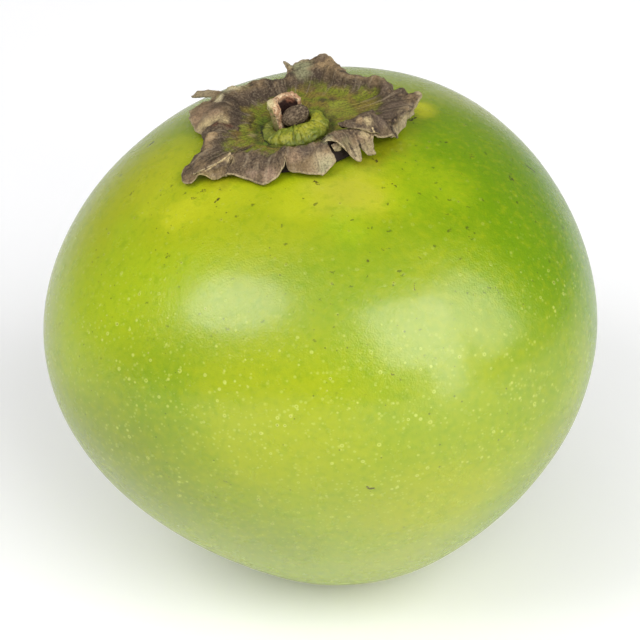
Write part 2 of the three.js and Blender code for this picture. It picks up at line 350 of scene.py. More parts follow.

# Ripening shows as patches, and the olive ones under the calyx's edges are partly painted shade: where
# they are and how wide, in millimetres in the row's frame, their colour and how strong it is.
RIPENING_AND_CALYX_SHADE = [
    ((-38, -18, 76), 28, SKIN_LIME, 0.8),
    ((32, -11, 84), 30, SKIN_DEEP_GREEN, 0.95),
    ((15, -14, 90), 9, SKIN_LIME, 0.5),
    ((46, 0, 64), 32, SKIN_DEEP_GREEN, 0.9),
    ((24, 4, 89), 16, SKIN_DEEP_GREEN, 0.6),
    ((-2, -33, 83), 14, SKIN_DEEP_GREEN, 0.25),
    ((9, -23, 88.5), 13, SKIN_DEEP_GREEN, 0.35),
    ((33, -34, 66), 14, SKIN_DEEP_GREEN, 0.3),
    ((-30, -38, 62), 14, SKIN_DEEP_GREEN, 0.4),
    ((-20, 40, 74), 22, SKIN_DEEP_GREEN, 0.6),
    ((36, 24, 42), 22, SKIN_DEEP_GREEN, 0.6),
    ((-34, -34, 44), 26, SKIN_DULL_GREEN, 0.9),
    ((-14, -42, 30), 16, SKIN_DULL_GREEN, 0.6),
    ((38, -30, 44), 16, SKIN_DULL_GREEN, 0.6),
    ((30, -30, 26), 18, SKIN_DEEP_GREEN, 0.4),
    ((-15, -21, 89), 16, SKIN_YELLOW, 0.5),
    ((2, -20, 90), 10, SKIN_YELLOW, 0.7),
    ((13, 8, 91.5), 5, SKIN_YELLOW, 0.8),
    ((-28, -15, 86), 15, SKIN_YELLOW, 0.5),
    ((-33, -3, 85), 12, SKIN_GOLD, 0.6),
    ((-28.4, -16.5, 85), 5.5, SKIN_GOLD, 0.6),
    ((-20, -15, 88.4), 8, SKIN_GOLD, 0.4),
    ((-42, -8, 74), 10, SKIN_YELLOW, 0.6),
    ((12.5, 7.5, 91.6), 4, SKIN_GOLD, 0.7),
    ((5, -18, 90.5), 7, SKIN_GOLD, 0.3),
    ((-8, -19, 90), 7, SKIN_GOLD, 0.35),
    ((0, -18, 91), 9, SKIN_LEMON, 0.5),
    ((0, -25, 88.5), 6, SKIN_LEAF, 0.35),
    ((9.5, -19, 90), 5, SKIN_LEAF, 0.3),
    # Olive patches just under the calyx's edges: the skin's brownish tint there, and painted shade where
    # the lobes overhang it.
    ((7, -6.5, 92.5), 4.5, SKIN_OLIVE_AND_SHADE, 0.5),
    ((4, -11, 92), 3.5, SKIN_OLIVE_AND_SHADE, 0.5),
    ((-21, -11, 88.8), 4, SKIN_OLIVE_AND_SHADE, 0.5),
    ((-38, 0, 81), 15, SKIN_YELLOW, 0.7),
    ((-12, -47, 62), 20, SKIN_YELLOW, 0.5),
    ((16, -43, 44), 16, SKIN_YELLOW, 0.5),
    ((10, 44, 60), 24, SKIN_YELLOW, 0.6),
    ((-34, 30, 40), 18, SKIN_YELLOW, 0.6),
]

# Marks of handling, from one place to another in the same millimetres, and how wide.
SCRATCHES = [
    ((-5.4, -15.7, 91.1), (-4.8, -16.4, 90.9), 0.36),
    ((4.6, -10.3, 92.2), (5.3, -10.8, 92), 0.36),
    ((11.3, -33.9, 82.5), (12, -36.4, 80.4), 0.14),
    ((7.3, -44.1, 71.8), (9.3, -44.5, 70.6), 0.2),
    ((24.8, -30.7, 79.8), (26.1, -31.9, 78), 0.16),
    ((3.4, -31, 85.4), (3.6, -31.1, 85.3), 0.3),
    ((-21.3, -43.8, 49.3), (-19.6, -44.1, 48.7), 0.2),
    ((3.6, -46.7, 50), (4.6, -46.6, 50), 0.5),
    ((18.7, -28.6, 83.7), (19.2, -28.2, 83.9), 0.25),
    ((37, -10, 78.5), (37.2, -10.3, 78.3), 0.3),
    ((-24.4, -13, 87.5), (-24.1, -13, 87.6), 0.35),
    ((-26.2, -14.1, 86.6), (-25.6, -14.2, 86.8), 0.3),
    ((-22, -16.4, 87.6), (-21.4, -15.9, 87.9), 0.3),
    ((-37.3, -5.4, 82), (-36.8, -5.3, 82.3), 0.3),
    ((-28, -19.8, 84.2), (-27.6, -19.4, 84.5), 0.25),
    ((-34.6, 9.3, 82.8), (-34, 9.8, 83.2), 0.5),
    ((31.4, 1.1, 83.9), (32.9, 0.9, 82.7), 0.35),
    ((28.1, -6.2, 86.2), (29, -6.9, 85.5), 0.3),
    ((21.3, -5.3, 89.4), (21.6, -4.4, 89.4), 0.3),
    ((16, -2.9, 91.2), (17.6, -2.7, 90.9), 0.25),
    ((7.8, -16, 91), (8.4, -16.8, 90.7), 0.25),
    ((10.9, 2.3, 92.2), (12.2, 4, 92), 0.4),
]

# Where handling has polished its wax: the middle and radius of each place, in the same millimetres.
POLISHED = [((15, -38, 77), 26), ((-19, -36, 78), 22)]

WAX = {"IOR": 1.5, "Specular IOR Level": 0.44, "Coat Roughness": 0.17}
# Its specks: how far apart their cells are, about how far each reaches from its middle, both in
# millimetres, and how many of the cells hold one.
LENTICELS = {"Spacing": 1.7, "Size": 0.31, "Share": 0.75}
PALE_DOTS = {"Spacing": 0.9, "Size": 0.24, "Share": 0.8}
DARK_DOTS = {"Spacing": 1.9, "Size": 0.17, "Share": 0.5}
SCUFFS = {"Spacing": 1.7, "Size": 0.24, "Share": 0.5}
SCUFF_STRETCH = (0.6, 1, 1.2)
PALE_BELOW = 90, 68  # heights between which lenticels and dots turn pale, in millimetres
SCUFFED_ABOVE = 62, 84  # heights between which scuffs set in
SHAKE_SCALE, SHAKE = 1.6, 1.5  # how finely and how far its marks stray
SKIN_RELIEF = 0.065


def skin_material():
    material, shader, at = finish_material("waxy_skin", WAX)
    colour = over(fade(mottle(at, 0.035), 0.45, 0.75), SKIN_GREEN, SKIN_PALE)
    colour = patched(at, colour, RIPENING_AND_CALYX_SHADE)
    fine = mottle(at, 0.8, 6.0)
    colour = over(fade(fine, 0.45, 0.75) * 0.3, colour, SKIN_YELLOW)
    colour = over(fade(fine, 0.52, 0.25) * 0.3, colour, SKIN_DEEP_GREEN)
    # Lenticels are pale rings, and some have gone russet in the middle.
    height = place(at.tree, "SeparateXYZ", {0: at})["Z"]
    low = fade(height, *PALE_BELOW)
    lenticels = grouped(SPECKS, Place=at, **LENTICELS)
    ring = lenticels["Speck"] - lenticels["Core"] * 0.9
    colour = over(ring * (low * 0.5 + 0.14), colour, LENTICEL)
    pits = lenticels["Core"] * lenticels["Pick"].math("GREATER_THAN", 0.75)
    colour = over(pits * 0.6, colour, RUSSET)
    colour = over(grouped(SPECKS, Place=at, **PALE_DOTS)["Speck"] * (low * 0.32), colour, LENTICEL)
    colour = over(grouped(SPECKS, Place=at, **DARK_DOTS)["Speck"] * 0.6, colour, SPECK)
    # Scuffs and scratches stray from round spots and straight lines.
    swirl = place(at.tree, "TexNoise", {"Vector": at, "Scale": SHAKE_SCALE, "Detail": 3.0})["Color"]
    swirl = scaled(vectors("SUBTRACT", swirl, (0.5, 0.5, 0.5))["Vector"], SHAKE)
    shaky = vectors("ADD", at, swirl)["Vector"]
    uneven = vectors("MULTIPLY", shaky, SCUFF_STRETCH)["Vector"]
    scuffed = grouped(SPECKS, Place=uneven, **SCUFFS)["Speck"] * (fade(height, *SCUFFED_ABOVE) * 0.65)
    colour = over(scuffed, colour, SPECK)
    broken = fade(mottle(at, 2.6), 0.36, 0.5)
    for start, end, width in SCRATCHES:
        colour = lined(shaky, colour, (start, end), width, SCAB, broken)
    # The wax is uneven, and glossiest where hands have rubbed it.
    relief = mottle(at, 2.8, 4.0) + mottle(at, 0.5, 2.0) * 1.2 + lenticels["Speck"] * 0.4
    rubbed = 0.0
    for centre, radius in POLISHED:
        patch = grouped(BLOTCH, Place=at, Centre=centre, Radius=radius)["Patch"]
        rubbed = patch.math("MAXIMUM", rubbed)
    connect(shader, {
        "Base Color": colour,
        "Roughness": mottle(at, 0.3) * 0.12 + 0.2,
        "Coat Weight": rubbed * 0.55,
        "Normal": bumps(relief, SKIN_RELIEF),
    })
    return material


fruit_skin = grow_skin()
fruit_skin.data.materials.append(skin_material())
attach(fruit_skin, "root")
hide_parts("fruit")

# ---- The calyx ------------------------------------------------------------------------------------
# The flower's fused sepals, kept as a leathery cap on the fruit: green in the middle, where it is
# still alive, and dried brown at the lobes, which rise to a ridge, hang over it and crumple. It
# grows from the stalk and lies on the skin.

# Each lobe gives how far it is still green (1 at the disc's rim, 2 at its foot, 3 at its ridge) and
# its stations. A station gives the foot's radius, then the ridge and the edge as bearing in degrees,
# radius and height above the skin in millimetres, and how pale the outer face has dried, 0 to 1.
LOBES = {
    "front_left": (2.75, [
        (9.5, 227, 13.5, 3.0, 228, 16.8, 1.6, 0.2),
        (9.0, 232, 12.8, 3.2, 234, 16.4, 1.5, 0.2),
        (9.0, 240, 12.3, 3.2, 241, 16.4, 1.2, 0.2),
        (9.0, 248, 12.1, 3.0, 249, 16.7, 1.0, 0.3),
        (9.0, 254, 12.0, 3.0, 254, 16.7, 1.1, 0.45),
        (9.0, 259, 12.1, 3.4, 259, 15.9, 1.4, 0.4),
        (9.3, 262.5, 12.2, 4.2, 262.5, 15.2, 2.2, 0.3),
        (9.5, 265, 12.3, 4.7, 265, 14.6, 3.2, 0.3),
    ]),
    "front": (2.8, [
        (9.5, 266.5, 12.5, 4.9, 266, 13.8, 4.0, 0.4),
        (9.5, 268, 12.6, 4.7, 267, 14.8, 2.2, 0.45),
        (9.5, 272, 12.6, 4.5, 272, 15.0, 1.6, 0.4),
        (9.5, 279, 12.6, 4.5, 279, 15.4, 1.4, 0.5),
        (9.5, 285, 12.7, 4.5, 285, 16.2, 1.4, 0.75),
        (9.5, 289, 12.9, 4.6, 288, 16.5, 1.4, 0.95),
        (9.5, 292, 13.1, 4.8, 293, 16.2, 2.0, 0.95),
        (9.5, 294, 13.2, 5.0, 298, 15.7, 2.4, 0.85),
        (9.5, 295.5, 13.1, 5.1, 297, 14.4, 3.4, 0.7),
    ]),
    "front_right": (2.6, [
        (9.5, 297, 13.0, 5.3, 296, 13.6, 4.9, 0.8),
        (9.5, 299, 13.0, 5.6, 299, 14.0, 5.3, 0.7),
        (9.5, 302, 13.0, 5.7, 302.5, 14.6, 5.2, 0.6),
        (9.5, 304.5, 13.0, 5.6, 305, 15.0, 4.8, 0.5),
        (9.5, 306.5, 13.1, 5.5, 306.5, 15.3, 3.7, 0.5),
        (9.5, 308.5, 13.3, 5.5, 307.7, 16.0, 2.6, 0.6),
        (9.7, 310.5, 13.5, 5.5, 309.8, 16.5, 1.7, 0.75),
        (9.8, 312.5, 13.7, 5.6, 312.5, 16.7, 1.1, 0.8),
        (10.0, 314.5, 14.0, 5.6, 315.2, 16.7, 1.3, 0.75),
        (10.0, 316, 14.3, 5.6, 316.4, 15.7, 3.0, 0.6),
        (10.0, 317.5, 14.5, 5.7, 318, 16.9, 1.6, 0.75),
        (10.0, 319.5, 15.0, 5.7, 320.5, 17.5, 1.4, 0.8),
        (10.0, 321.5, 15.4, 5.6, 322, 17.9, 1.7, 0.8),
        (10.0, 323, 15.8, 5.3, 323, 17.4, 3.0, 0.75),
        (10.0, 324.5, 15.9, 5.0, 324.5, 17.1, 4.1, 0.6),
    ]),
    "right": (2.1, [
        (10.0, 327, 15.0, 5.6, 327, 17.0, 4.3, 0.55),
        (10.0, 330, 14.8, 6.0, 330, 17.3, 3.4, 0.4),
        (10.2, 334, 15.0, 6.1, 334.5, 17.6, 2.6, 0.3),
        (10.5, 338, 15.5, 6.0, 339, 18.4, 2.4, 0.25),
        (10.7, 340.5, 17.2, 4.6, 341.5, 18.0, 1.4, 0.2),
        (11.0, 342, 18.4, 4.7, 343, 18.6, 1.1, 0.9),
        (11.0, 346, 18.9, 4.8, 348, 18.7, 1.3, 1.0),
        (11.3, 352, 19.7, 4.8, 354, 19.2, 1.6, 1.0),
        (11.6, 357, 20.3, 4.7, 359, 19.9, 1.8, 0.9),
        (12.0, 361, 20.6, 4.4, 364, 20.8, 2.0, 0.85),
        (12.4, 365, 20.9, 4.5, 367, 21.4, 2.7, 0.85),
        (13.0, 369.5, 22.2, 4.8, 371.8, 23.1, 4.6, 0.7),
        (13.3, 371, 21.0, 4.8, 373.6, 22.4, 4.7, 0.5),
    ]),
    "back_right": (2.1, [
        (13.5, 372.5, 19.8, 4.2, 374.5, 21.2, 3.6, 0.3),
        (13.8, 374.6, 19.3, 5.0, 375.6, 20.2, 4.6, 0.3),
        (14.2, 377, 18.6, 3.6, 377.5, 19.9, 3.1, 0.3),
        (14.8, 379.5, 18.3, 3.2, 379.5, 19.3, 2.5, 0.3),
        (15.4, 382.5, 18.2, 3.6, 382.5, 19.3, 2.5, 0.3),
        (16.0, 386.5, 18.2, 4.5, 386.5, 19.6, 2.6, 0.3),
        (16.0, 391, 18.0, 4.6, 391, 20.0, 2.5, 0.3),
        (15.0, 395, 17.3, 4.5, 395, 20.0, 2.3, 0.3),
        (14.0, 400, 15.8, 4.0, 400, 19.0, 2.1, 0.35),
        (13.0, 406, 14.5, 4.1, 406, 18.5, 2.2, 0.4),
        (12.5, 413, 14.4, 4.2, 413, 18.0, 2.1, 0.45),
    ]),
    "back_peak": (2.0, [
        (12.8, 420, 15.2, 4.3, 422, 18.5, 3.2, 0.5),
        (13.3, 427, 16.5, 4.5, 429, 19.5, 4.6, 0.55),
        (13.5, 433, 17.0, 4.4, 434, 20.0, 5.3, 0.5),
        (13.3, 437, 16.8, 4.2, 438, 19.7, 4.8, 0.3),
        (13.0, 441, 16.3, 4.0, 441, 19.5, 4.1, 0.4),
        (12.5, 445, 15.6, 4.0, 445, 20.0, 4.4, 0.8),
        (11.5, 449, 14.5, 3.7, 449, 20.0, 4.2, 0.9),
        (10.5, 453, 13.2, 3.4, 452.5, 19.3, 3.3, 0.9),
        (9.3, 456, 12.2, 3.3, 455, 15.6, 1.9, 0.8),
    ]),
    "back_left": (1.75, [
        (8.3, 459, 11.3, 3.3, 459, 14.8, 1.6, 0.8),
        (8.0, 463, 11.0, 3.7, 462, 14.5, 2.1, 0.7),
        (8.0, 468, 11.6, 3.8, 467, 15.5, 2.4, 0.6),
        (8.6, 473, 12.3, 3.8, 472, 17.0, 2.3, 0.9),
        (9.5, 478, 12.8, 3.8, 477, 17.6, 2.1, 0.95),
        (10.0, 483, 13.2, 3.8, 481, 18.2, 2.0, 0.95),
        (10.4, 489, 13.6, 3.9, 486, 19.0, 1.9, 0.9),
        (10.5, 495, 14.0, 4.0, 491, 20.0, 2.0, 0.9),
        (10.3, 501, 13.8, 3.9, 495, 20.8, 2.2, 0.8),
        (10.0, 507, 13.1, 3.9, 499, 20.0, 2.3, 0.6),
    ]),
    "left": (1.8, [
        (9.6, 512, 12.5, 3.8, 502, 21.6, 2.1, 0.5),
        (9.2, 518, 12.1, 3.6, 507.5, 22.2, 2.0, 0.5),
        (9.0, 524, 12.0, 3.5, 513, 21.0, 1.9, 0.55),
        (9.1, 530, 12.1, 3.4, 520, 19.4, 1.8, 0.7),
        (9.4, 537, 12.5, 3.4, 529, 17.8, 1.6, 0.6),
        (9.5, 544, 12.9, 3.6, 537, 16.2, 1.5, 0.65),
    ]),
    "tongue": (2.2, [
        (9.5, 549, 13.3, 3.6, 545, 15.6, 1.8, 0.5),
        (9.6, 553, 14.0, 4.0, 552, 16.2, 2.1, 0.5),
        (9.9, 558, 15.2, 4.1, 557.3, 16.9, 2.1, 0.5),
        (10.3, 562.5, 16.3, 3.8, 561.4, 18.4, 2.1, 0.4),
        (10.7, 566, 17.6, 3.5, 563.6, 20.6, 2.1, 0.3),
        (11.0, 569, 19.0, 3.2, 565.5, 21.6, 1.8, 0.25),
        (11.0, 571.5, 19.6, 3.0, 569.5, 21.8, 1.2, 0.3),
        (11.0, 573.4, 19.5, 3.0, 573, 20.9, 1.2, 0.5),
        (11.0, 575.8, 19.0, 3.2, 575.4, 19.8, 2.3, 0.6),
        (10.8, 579, 18.5, 3.3, 578.5, 19.3, 2.0, 0.6),
        (10.5, 581, 17.8, 3.3, 581.5, 18.5, 1.0, 0.6),
        (10.2, 583, 16.4, 3.3, 583.5, 18.0, 1.0, 0.55),
        (9.8, 584.4, 15.0, 3.2, 585.4, 17.1, 1.2, 0.5),
        (9.6, 585.6, 14.2, 2.3, 586.6, 17.0, 1.6, 0.2),
    ]),
}

# Places across the sheet, as its material reads them: 0 at the middle, then these, and 10 less as
# much again on the underside.
DISC_RIM, FOOT, RIDGE, TURN, EDGE = 1, 2, 3, 4, 5
ROUND_RIM = 5.4
UNDERSIDE = 10
PROFILE_STEPS = (5, 8, 16, 10, 12)  # rows from the middle to each of those
PER_STATION = 6

DISC_RADIUS, DISC_HEIGHT, DISC_FOOT = 6.5, 1.0, 1.9
TURN_OUT, TURN_DOWN = 0.6, 0.35  # how far the turn has gone from the ridge towards the edge
MIDDLE_THICKNESS, LOBE_THICKNESS = 0.8, 0.34
CLEAR_OF_SKIN = 0.15
GROOVE_X, GROOVE_Y, GROOVE_RADIUS = 0.2, -2.1, 6.6  # the crease where the disc meets the collar
GROOVE_WIDTH, GROOVE_DEPTH = 0.55, 0.35
# Crumples, ribs and ragged fringe: how deep and how wide, in millimetres. Ribs and fringe are drawn
# out along the lobes, so they are scaled round and outwards.
CRUMPLES = (0.5, 3.0)
WRINKLES = (0.11, 1.0)
MIDDLE_CRUMPLES, MIDDLE_WRINKLES = 0.35, 0.5  # share of their depth that the middle has
LOBE_START = 1.6  # from here to twice as far across, the sheet thins and its crumples deepen
RIB_DEPTH, RIB_SCALE = 0.15, (19, 19, 0.9)
FRINGE_DEPTH, FRINGE_SCALE = 0.7, (17, 17, 0.6)
# Noise in layers: how fast they weaken, how much finer each is, and how many there are.
CRUMPLE_LAYERS = (0.8, 2.0, 3)
RIM_BULGE = 0.45  # how far the rim rounds out, as a share of the thickness


def curve_through(points, steps, closed=False):
    """Points on a smooth curve through the given ones: (n, ..., 3), steps for each stretch."""
    points = np.asarray(points, float)
    if closed:
        padded = np.concatenate((points[-1:], points, points[:2]))
    else:
        padded = np.concatenate((2 * points[:1] - points[1:2], points, 2 * points[-1:] - points[-2:-1]))
    stretches = len(padded) - 3
    steps = [steps] * stretches if isinstance(steps, int) else steps
    made = []
    for i in range(stretches):
        p = padded[i : i + 4]
        knots = [np.zeros(p.shape[1:-1] + (1,))]
        for a, b in zip(p, p[1:]):
            gap = np.linalg.norm(b - a, axis=-1, keepdims=True)
            knots.append(knots[-1] + np.sqrt(np.maximum(gap, 1e-6)))
        k0, k1, k2, k3 = knots
        for share in np.arange(steps[i]) / steps[i]:
            t = k1 + (k2 - k1) * share
            a1 = (p[0] * (k1 - t) + p[1] * (t - k0)) / (k1 - k0)
            a2 = (p[1] * (k2 - t) + p[2] * (t - k1)) / (k2 - k1)
            a3 = (p[2] * (k3 - t) + p[3] * (t - k2)) / (k3 - k2)
            b1 = (a1 * (k2 - t) + a2 * (t - k0)) / (k2 - k0)
            b2 = (a2 * (k3 - t) + a3 * (t - k1)) / (k3 - k1)
            made.append((b1 * (k2 - t) + b2 * (t - k1)) / (k2 - k1))
    if not closed:
        made.append(points[-1])
    return np.stack(made)


def from_polar(bearing, radius, height):
    angle = np.radians(bearing)
    return np.stack((radius * np.cos(angle), radius * np.sin(angle), height), -1)


def on_skin(points):
    """Turns (x, y, height above the skin) into points of the fruit's own frame."""
    made = np.array(points, float)
    made[..., 2] += skin_height(made[..., 0], made[..., 1])
    return made


def grid_normals(points, around):
    """Unit normals of a (rows, columns, 3) grid, facing away from the fruit."""
    if around:
        along = np.roll(points, -1, 1) - np.roll(points, 1, 1)
    else:
        along = np.gradient(points, axis=1)
    normals = np.cross(np.gradient(points, axis=0), along)
    return normals / np.maximum(np.linalg.norm(normals, axis=-1, keepdims=True), 1e-9)


def crumple(points, depth, size):
    """Smooth random heights, up to depth, over features of that size in millimetres."""
    flat = points.reshape(-1, 3)
    made = [noise.fractal(Vector(p) / size, *CRUMPLE_LAYERS) for p in flat]
    return depth * np.array(made).reshape(points.shape[:-1] + (1,))


def thick_sheet(top, normals, thickness):
    """Closes a grid of points into a sheet with a rounded rim, as a longer grid of points."""
    below = top - normals * thickness
    rim = (top[-1] + below[-1]) / 2
    outward = top[-1] - top[-2]
    outward = outward / np.linalg.norm(outward, axis=-1, keepdims=True)
    rim = rim + outward * thickness[-1] * RIM_BULGE
    return np.concatenate((top, rim[None], below[::-1]))


calyx_points, calyx_faces = [], []
calyx_marks = {"across": [], "paleness": [], "green_reach": [], "groove": [], "ribs": []}


def add_calyx_shell(points, faces, **marks):
    """Adds one closed shell to the calyx, with what its material reads of each point."""
    first = sum(len(shell) for shell in calyx_points)
    calyx_points.append(points)
    calyx_faces.extend(tuple(first + i for i in face) for face in faces)
    for name, values in calyx_marks.items():
        values.append(marks[name])


def sheet_profile():
    """The sheet's control rows from its middle to its edge, and two looks for each column."""
    stations = np.array([(*station, reach) for reach, lobe in LOBES.values() for station in lobe])
    foot = from_polar(stations[:, 1], stations[:, 0], np.full(len(stations), DISC_FOOT))
    ridge = from_polar(stations[:, 1], stations[:, 2], stations[:, 3])
    edge = from_polar(stations[:, 4], stations[:, 5], stations[:, 6])
    looks = np.stack((stations[:, 7], stations[:, 8], np.zeros(len(stations))), 1)
    smooth = curve_through(np.stack((foot, ridge, edge, looks), 1), PER_STATION, closed=True)
    foot, ridge, edge, looks = np.moveaxis(smooth, 1, 0)
    inward = ridge[:, :2] / np.linalg.norm(ridge[:, :2], axis=1)[:, None]
    height = np.full((len(ridge), 1), DISC_HEIGHT)
    middle = np.concatenate((inward * DISC_RADIUS / 3, height), 1)
    rim = np.concatenate((inward * DISC_RADIUS, height), 1)
    turn_over = ridge * (1 - TURN_OUT) + edge * TURN_OUT
    turn_over[:, 2] = ridge[:, 2] * (1 - TURN_DOWN) + edge[:, 2] * TURN_DOWN
    return np.stack((middle, rim, foot, ridge, turn_over, edge)), looks[:, 0], looks[:, 1]


def grow_sheet():
    """The main sheet: a middle, stations smoothly joined, and the underside that closes it."""
    profile, paleness, green_reach = sheet_profile()
    top = on_skin(curve_through(profile, PROFILE_STEPS))
    columns = top.shape[1]
    across = [i + np.arange(count) / count for i, count in enumerate(PROFILE_STEPS)]
    across = np.concatenate((*across, [float(EDGE)]))
    turn = np.linspace(0, 2 * math.pi, columns, endpoint=False)
    ribs = np.stack(np.broadcast_arrays(np.cos(turn), np.sin(turn), across[:, None]), -1)
    lobe = np.clip((across - LOBE_START) / LOBE_START, 0, 1)[:, None, None]
    disc = np.clip(across - DISC_RIM, 0, 1)[:, None, None]
    fringe = np.clip(across - TURN, 0, 1)[:, None, None] ** 2
    from_collar = np.hypot(top[..., 0] - GROOVE_X, top[..., 1] - GROOVE_Y) - GROOVE_RADIUS
    groove = np.exp(-((from_collar / GROOVE_WIDTH) ** 2))
    normals = grid_normals(top, True)
    top = top - normals * groove[..., None] * GROOVE_DEPTH
    top = top + normals * (MIDDLE_CRUMPLES + (1 - MIDDLE_CRUMPLES) * lobe) * crumple(top, *CRUMPLES)
    top = top + normals * (MIDDLE_WRINKLES + (1 - MIDDLE_WRINKLES) * lobe) * crumple(top, *WRINKLES)
    top = top + normals * disc * crumple(ribs * RIB_SCALE, RIB_DEPTH, 1.0)
    ragged = crumple(ribs * FRINGE_SCALE, FRINGE_DEPTH, 1.0)
    top = top + (top - np.roll(top, 1, 0)) * fringe * ragged
    thickness = MIDDLE_THICKNESS + (LOBE_THICKNESS - MIDDLE_THICKNESS) * lobe
    sheet = thick_sheet(top, normals, np.broadcast_to(thickness, top.shape[:2] + (1,)))
    floor = skin_height(sheet[..., 0], sheet[..., 1]) + CLEAR_OF_SKIN
    sheet[..., 2] = np.maximum(sheet[..., 2], floor)
    rows = len(sheet)
    hubs = on_skin(np.array([[0.0, 0.0, DISC_HEIGHT], [0.0, 0.0, CLEAR_OF_SKIN]]))
    down = np.concatenate((across, [ROUND_RIM], UNDERSIDE - across[::-1]))
    turned = np.concatenate((ribs, ribs[-1:], ribs[::-1]))
    grooved = np.concatenate((groove, groove[-1:], groove[::-1]))
    add_calyx_shell(
        np.concatenate((sheet.reshape(-1, 3), hubs)),
        quads(rows, columns) + caps(rows, columns),
        across=np.append(np.repeat(down, columns), (0, UNDERSIDE)),
        paleness=np.append(np.tile(paleness, rows), (0, 0)),
        green_reach=np.append(np.tile(green_reach, rows), (RIDGE, RIDGE)),
        groove=np.append(grooved.reshape(-1), (0, 0)),
        ribs=np.concatenate((turned.reshape(-1, 3), np.zeros((2, 3)))),
    )


# Flaps that fold over the sheet, tear away from it, or hang in its pleats as dark sheets of painted
# shade: rows of (bearing, radius, height) from root to free edge, how pale each has dried (-1 for a
# sheet painted dark as shade), and how far out its free edge counts, 5 being the pale rim, partly
# dried paler and partly painted highlight.
FLAPS = {
    "pointed_flap": ([
        [(319, 11.3, 4.3), (323, 11.6, 4.2), (328, 11.8, 4.2), (334, 12.2, 4.3), (340, 13.0, 4.4)],
        [(316, 11.4, 5.5), (321, 13.0, 6.1), (327, 13.8, 6.4), (334, 14.5, 6.5), (340, 15.2, 6.3)],
        [(314.5, 12.3, 5.3), (316.5, 14.2, 5.9), (320, 15.8, 6.1), (324, 17.2, 5.4), (330, 17.6, 4.2)],
    ], 0.1, 4.8),
    "inner_curl": ([
        [(309.5, 13.6, 4.8), (306.5, 13.9, 4.3), (303, 14.0, 4.3), (299.6, 13.9, 4.1)],
        [(309.0, 14.1, 4.0), (306.0, 14.4, 3.6), (303, 14.3, 3.5), (300.4, 14.1, 3.4)],
        [(308.0, 14.2, 3.2), (305.5, 14.3, 2.7), (303.2, 14.2, 2.7), (301.4, 14.1, 2.8)],
    ], 1.0, 5.0),
    # A dark sheet of painted shade, hung under the arch.
    "arch_shade_sheet": ([
        [(294.5, 12.8, 4.9), (299, 12.8, 5.2), (305, 12.8, 5.1), (311, 12.9, 5.1)],
        [(296.0, 13.2, 2.9), (301, 13.3, 2.9), (306, 13.3, 2.9), (312, 13.4, 2.9)],
        [(298.0, 13.7, 0.6), (303, 13.8, 0.5), (308, 13.9, 0.5), (313, 14.0, 0.5)],
    ], -1.0, 4.8),
    # A dark sheet of painted shade in the cleft between two lobes.
    "cleft_shade_sheet": ([
        [(262.0, 12.0, 4.2), (265, 12.2, 4.5), (268, 12.2, 4.4)],
        [(260.5, 12.8, 2.3), (264.5, 12.8, 2.4), (269, 12.8, 2.4)],
        [(259.0, 13.5, 0.5), (264.5, 13.5, 0.5), (270, 13.5, 0.5)],
    ], -1.0, 4.8),
    "left_roll": ([
        [(190, 15.8, 2.6), (195, 14.7, 3.6), (196, 13.4, 3.6), (195, 12.3, 3.2),
         (192, 10.9, 2.2), (193, 9.6, 1.6)],
        [(183, 16.0, 2.7), (184.5, 15.0, 3.5), (186, 13.7, 3.9), (187, 12.4, 3.8),
         (186, 10.9, 2.8), (188, 9.4, 2.1)],
        [(177.6, 16.0, 1.8), (178, 14.9, 2.9), (179.5, 13.7, 3.5), (181.5, 12.4, 3.5),
         (181, 10.7, 2.7), (184, 9.2, 2.0)],
    ], 0.2, 4.8),
    "tongue_pleat": ([
        [(211.5, 19.8, 2.8), (213.5, 18.0, 2.9), (216, 16.4, 2.8), (217.5, 15.0, 2.7), (218, 13.6, 2.5)],
        [(213.2, 20.4, 3.3), (215.8, 18.8, 3.6), (218.6, 17.2, 3.6), (220.8, 15.5, 3.5),
         (220.5, 14.0, 3.2)],
        [(214.6, 20.9, 3.0), (217.6, 19.5, 3.3), (220.8, 17.8, 3.4), (223.4, 15.9, 3.5),
         (223, 14.2, 3.3)],
    ], 0.3, 5.0),
    "torn_spike": ([
        [(93.5, 13.4, 2.5), (91.5, 13.4, 2.7), (90, 13.5, 2.8)],
        [(93.4, 17.0, 3.2), (91.8, 17.0, 3.7), (90, 17.3, 3.8)],
        [(95.9, 20.0, 4.2), (95.3, 20.0, 4.6), (94.4, 20.0, 4.4)],
    ], 0.9, 5.0),
    "torn_strip": ([
        [(139.6, 16.0, 2.9), (135, 16.0, 3.2)],
        [(138.0, 20.5, 2.9), (134.2, 20.3, 3.4)],
        [(136.9, 25.8, 2.8), (133.9, 25.5, 3.4)],
    ], 0.8, 4.8),
}
FLAP_THICKNESS = 0.35
FLAP_STEPS, FLAP_ROW_STEPS = 10, 8
FLAP_CRUMPLES = (0.2, 1.3)
FLAP_ROOT = 3.6  # how far out a flap's root counts
RIB_SPAN = 20  # so many millimetres of a flap count as 1 in its ribs


